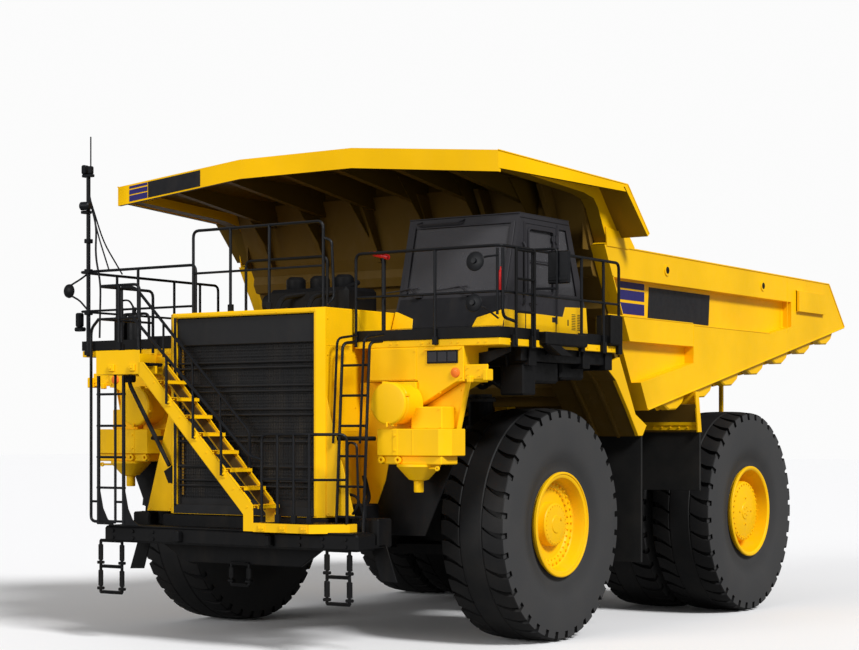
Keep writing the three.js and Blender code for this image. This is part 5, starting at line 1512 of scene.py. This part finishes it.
def cushion(name, x, y, z, size, lean, body, *stands_for):
    bm = bmesh.new()
    bmesh.ops.create_cube(bm, size=1)
    bmesh.ops.subdivide_edges(bm, edges=bm.edges[:], cuts=8, use_grid_fill=True)
    for vert in bm.verts:
        u, v, w = vert.co * 2
        crown = (1 - u * u) * (1 - v * v)
        pull = 1 - 0.08 * (1 - abs(w)) - 0.05 * max(u * u, v * v) * abs(w)
        channel = 0.05 * math.exp(-((abs(u) - 0.55) / 0.07) ** 2) if w > 0.9 else 0
        vert.co = Vector((u / 2 * pull, v / 2 * pull, w / 2 * (0.78 + 0.22 * crown) - channel))
    place = Matrix.Translation(spot(x, y, z)) @ Matrix.Rotation(lean, 4, "X") @ Matrix.Diagonal((*size, 1))
    bmesh.ops.transform(bm, verts=bm.verts, matrix=place)
    pad = finished(name, bm, seat_cloth, *stands_for, body=body, crease=80)
    rounder = pad.modifiers.new("rounder", "SUBSURF")
    rounder.levels = rounder.render_levels = 1


for name, x in (("operator", 2.5), ("trainer", 1.8)):
    cushion(f"{name}_seat_cushion", x, -0.185, 4.31, (0.5, 0.5, 0.14), 0, "chassis", f"{name}_seat")
    cushion(f"{name}_seat_back", x, 0.11, 4.68, (0.44, 0.6, 0.1), math.radians(82), "chassis")
    bm = bmesh.new()
    plate(bm, x - 0.16, x + 0.16, -0.36, 0.0, 3.96, 4.02, 0.01)
    for i in range(5):
        plate(bm, x - 0.13, x + 0.13, -0.32, -0.04, 4.02 + i * 0.036, 4.045 + i * 0.036, 0.01)
    plate(bm, x - 0.18, x + 0.18, -0.38, 0.02, 4.2, 4.245, 0.01)
    for side in (-0.26, 0.26):
        plate(bm, x + side - 0.025, x + side + 0.025, -0.28, 0.06, 4.5, 4.545, 0.015)
    finished(f"{name}_seat_base", bm, dash_plastic)

bm = bmesh.new()
cut_sheet(bm, on_x(1.37, (-1.21, 4.15), (-1.2, 4.45), (-1.06, 4.47), (-0.96, 4.36), (-0.96, 4.15)),
          (1.54, 0, 0), 0.02)
plate(bm, 2.2, 2.8, -1.02, -0.95, 4.3, 4.42, 0.02)
for x in (2.3, 2.42, 2.58, 2.7):
    lathe(bm, [(0, 0), (0.04, 0), (0.045, 0.006), (0.04, 0.012), (0.036, 0.005), (0, 0.005)],
          spot(x, -0.95, 4.36), BACK, 20)
tube(bm, [(2.5, -1.0, 4.2), (2.5, -0.76, 4.56)], 0.04, 0, 10)
tilt = Matrix.Translation(spot(2.5, -0.755, 4.562)) @ Matrix.Rotation(math.radians(-30), 4, "X")
known = set(bm.verts)
upright = Matrix.Translation((0.21, 0, 0)) @ Matrix.Rotation(math.pi / 2, 4, "X")
hoop = bmesh.ops.create_circle(bm, segments=10, radius=0.018, matrix=upright)
grip = list(dict.fromkeys(e for v in hoop["verts"] for e in v.link_edges))
bmesh.ops.spin(bm, geom=grip, cent=(0, 0, 0), axis=(0, 0, 1), angle=2 * math.pi, steps=36, use_merge=True)
spoke = Matrix.Translation((0.1, 0, -0.01)) @ Matrix.Diagonal((0.2, 0.03, 0.012, 1))
for turn in (0.3, 2.4, 4.5):
    bmesh.ops.create_cube(bm, size=1, matrix=Matrix.Rotation(turn, 4, "Z") @ spoke)
bmesh.ops.transform(bm, verts=[v for v in bm.verts if v not in known], matrix=tilt)
lathe(bm, [(0, -0.03), (0.05, -0.02), (0.06, 0.0), (0, 0.012)], spot(2.5, -0.755, 4.562), (0, 0.5, 0.86), 20)
finished("dash_and_wheel", bm, dash_plastic, "dashboard")

# ---------------------------------------------------------------- sizes
low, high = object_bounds()
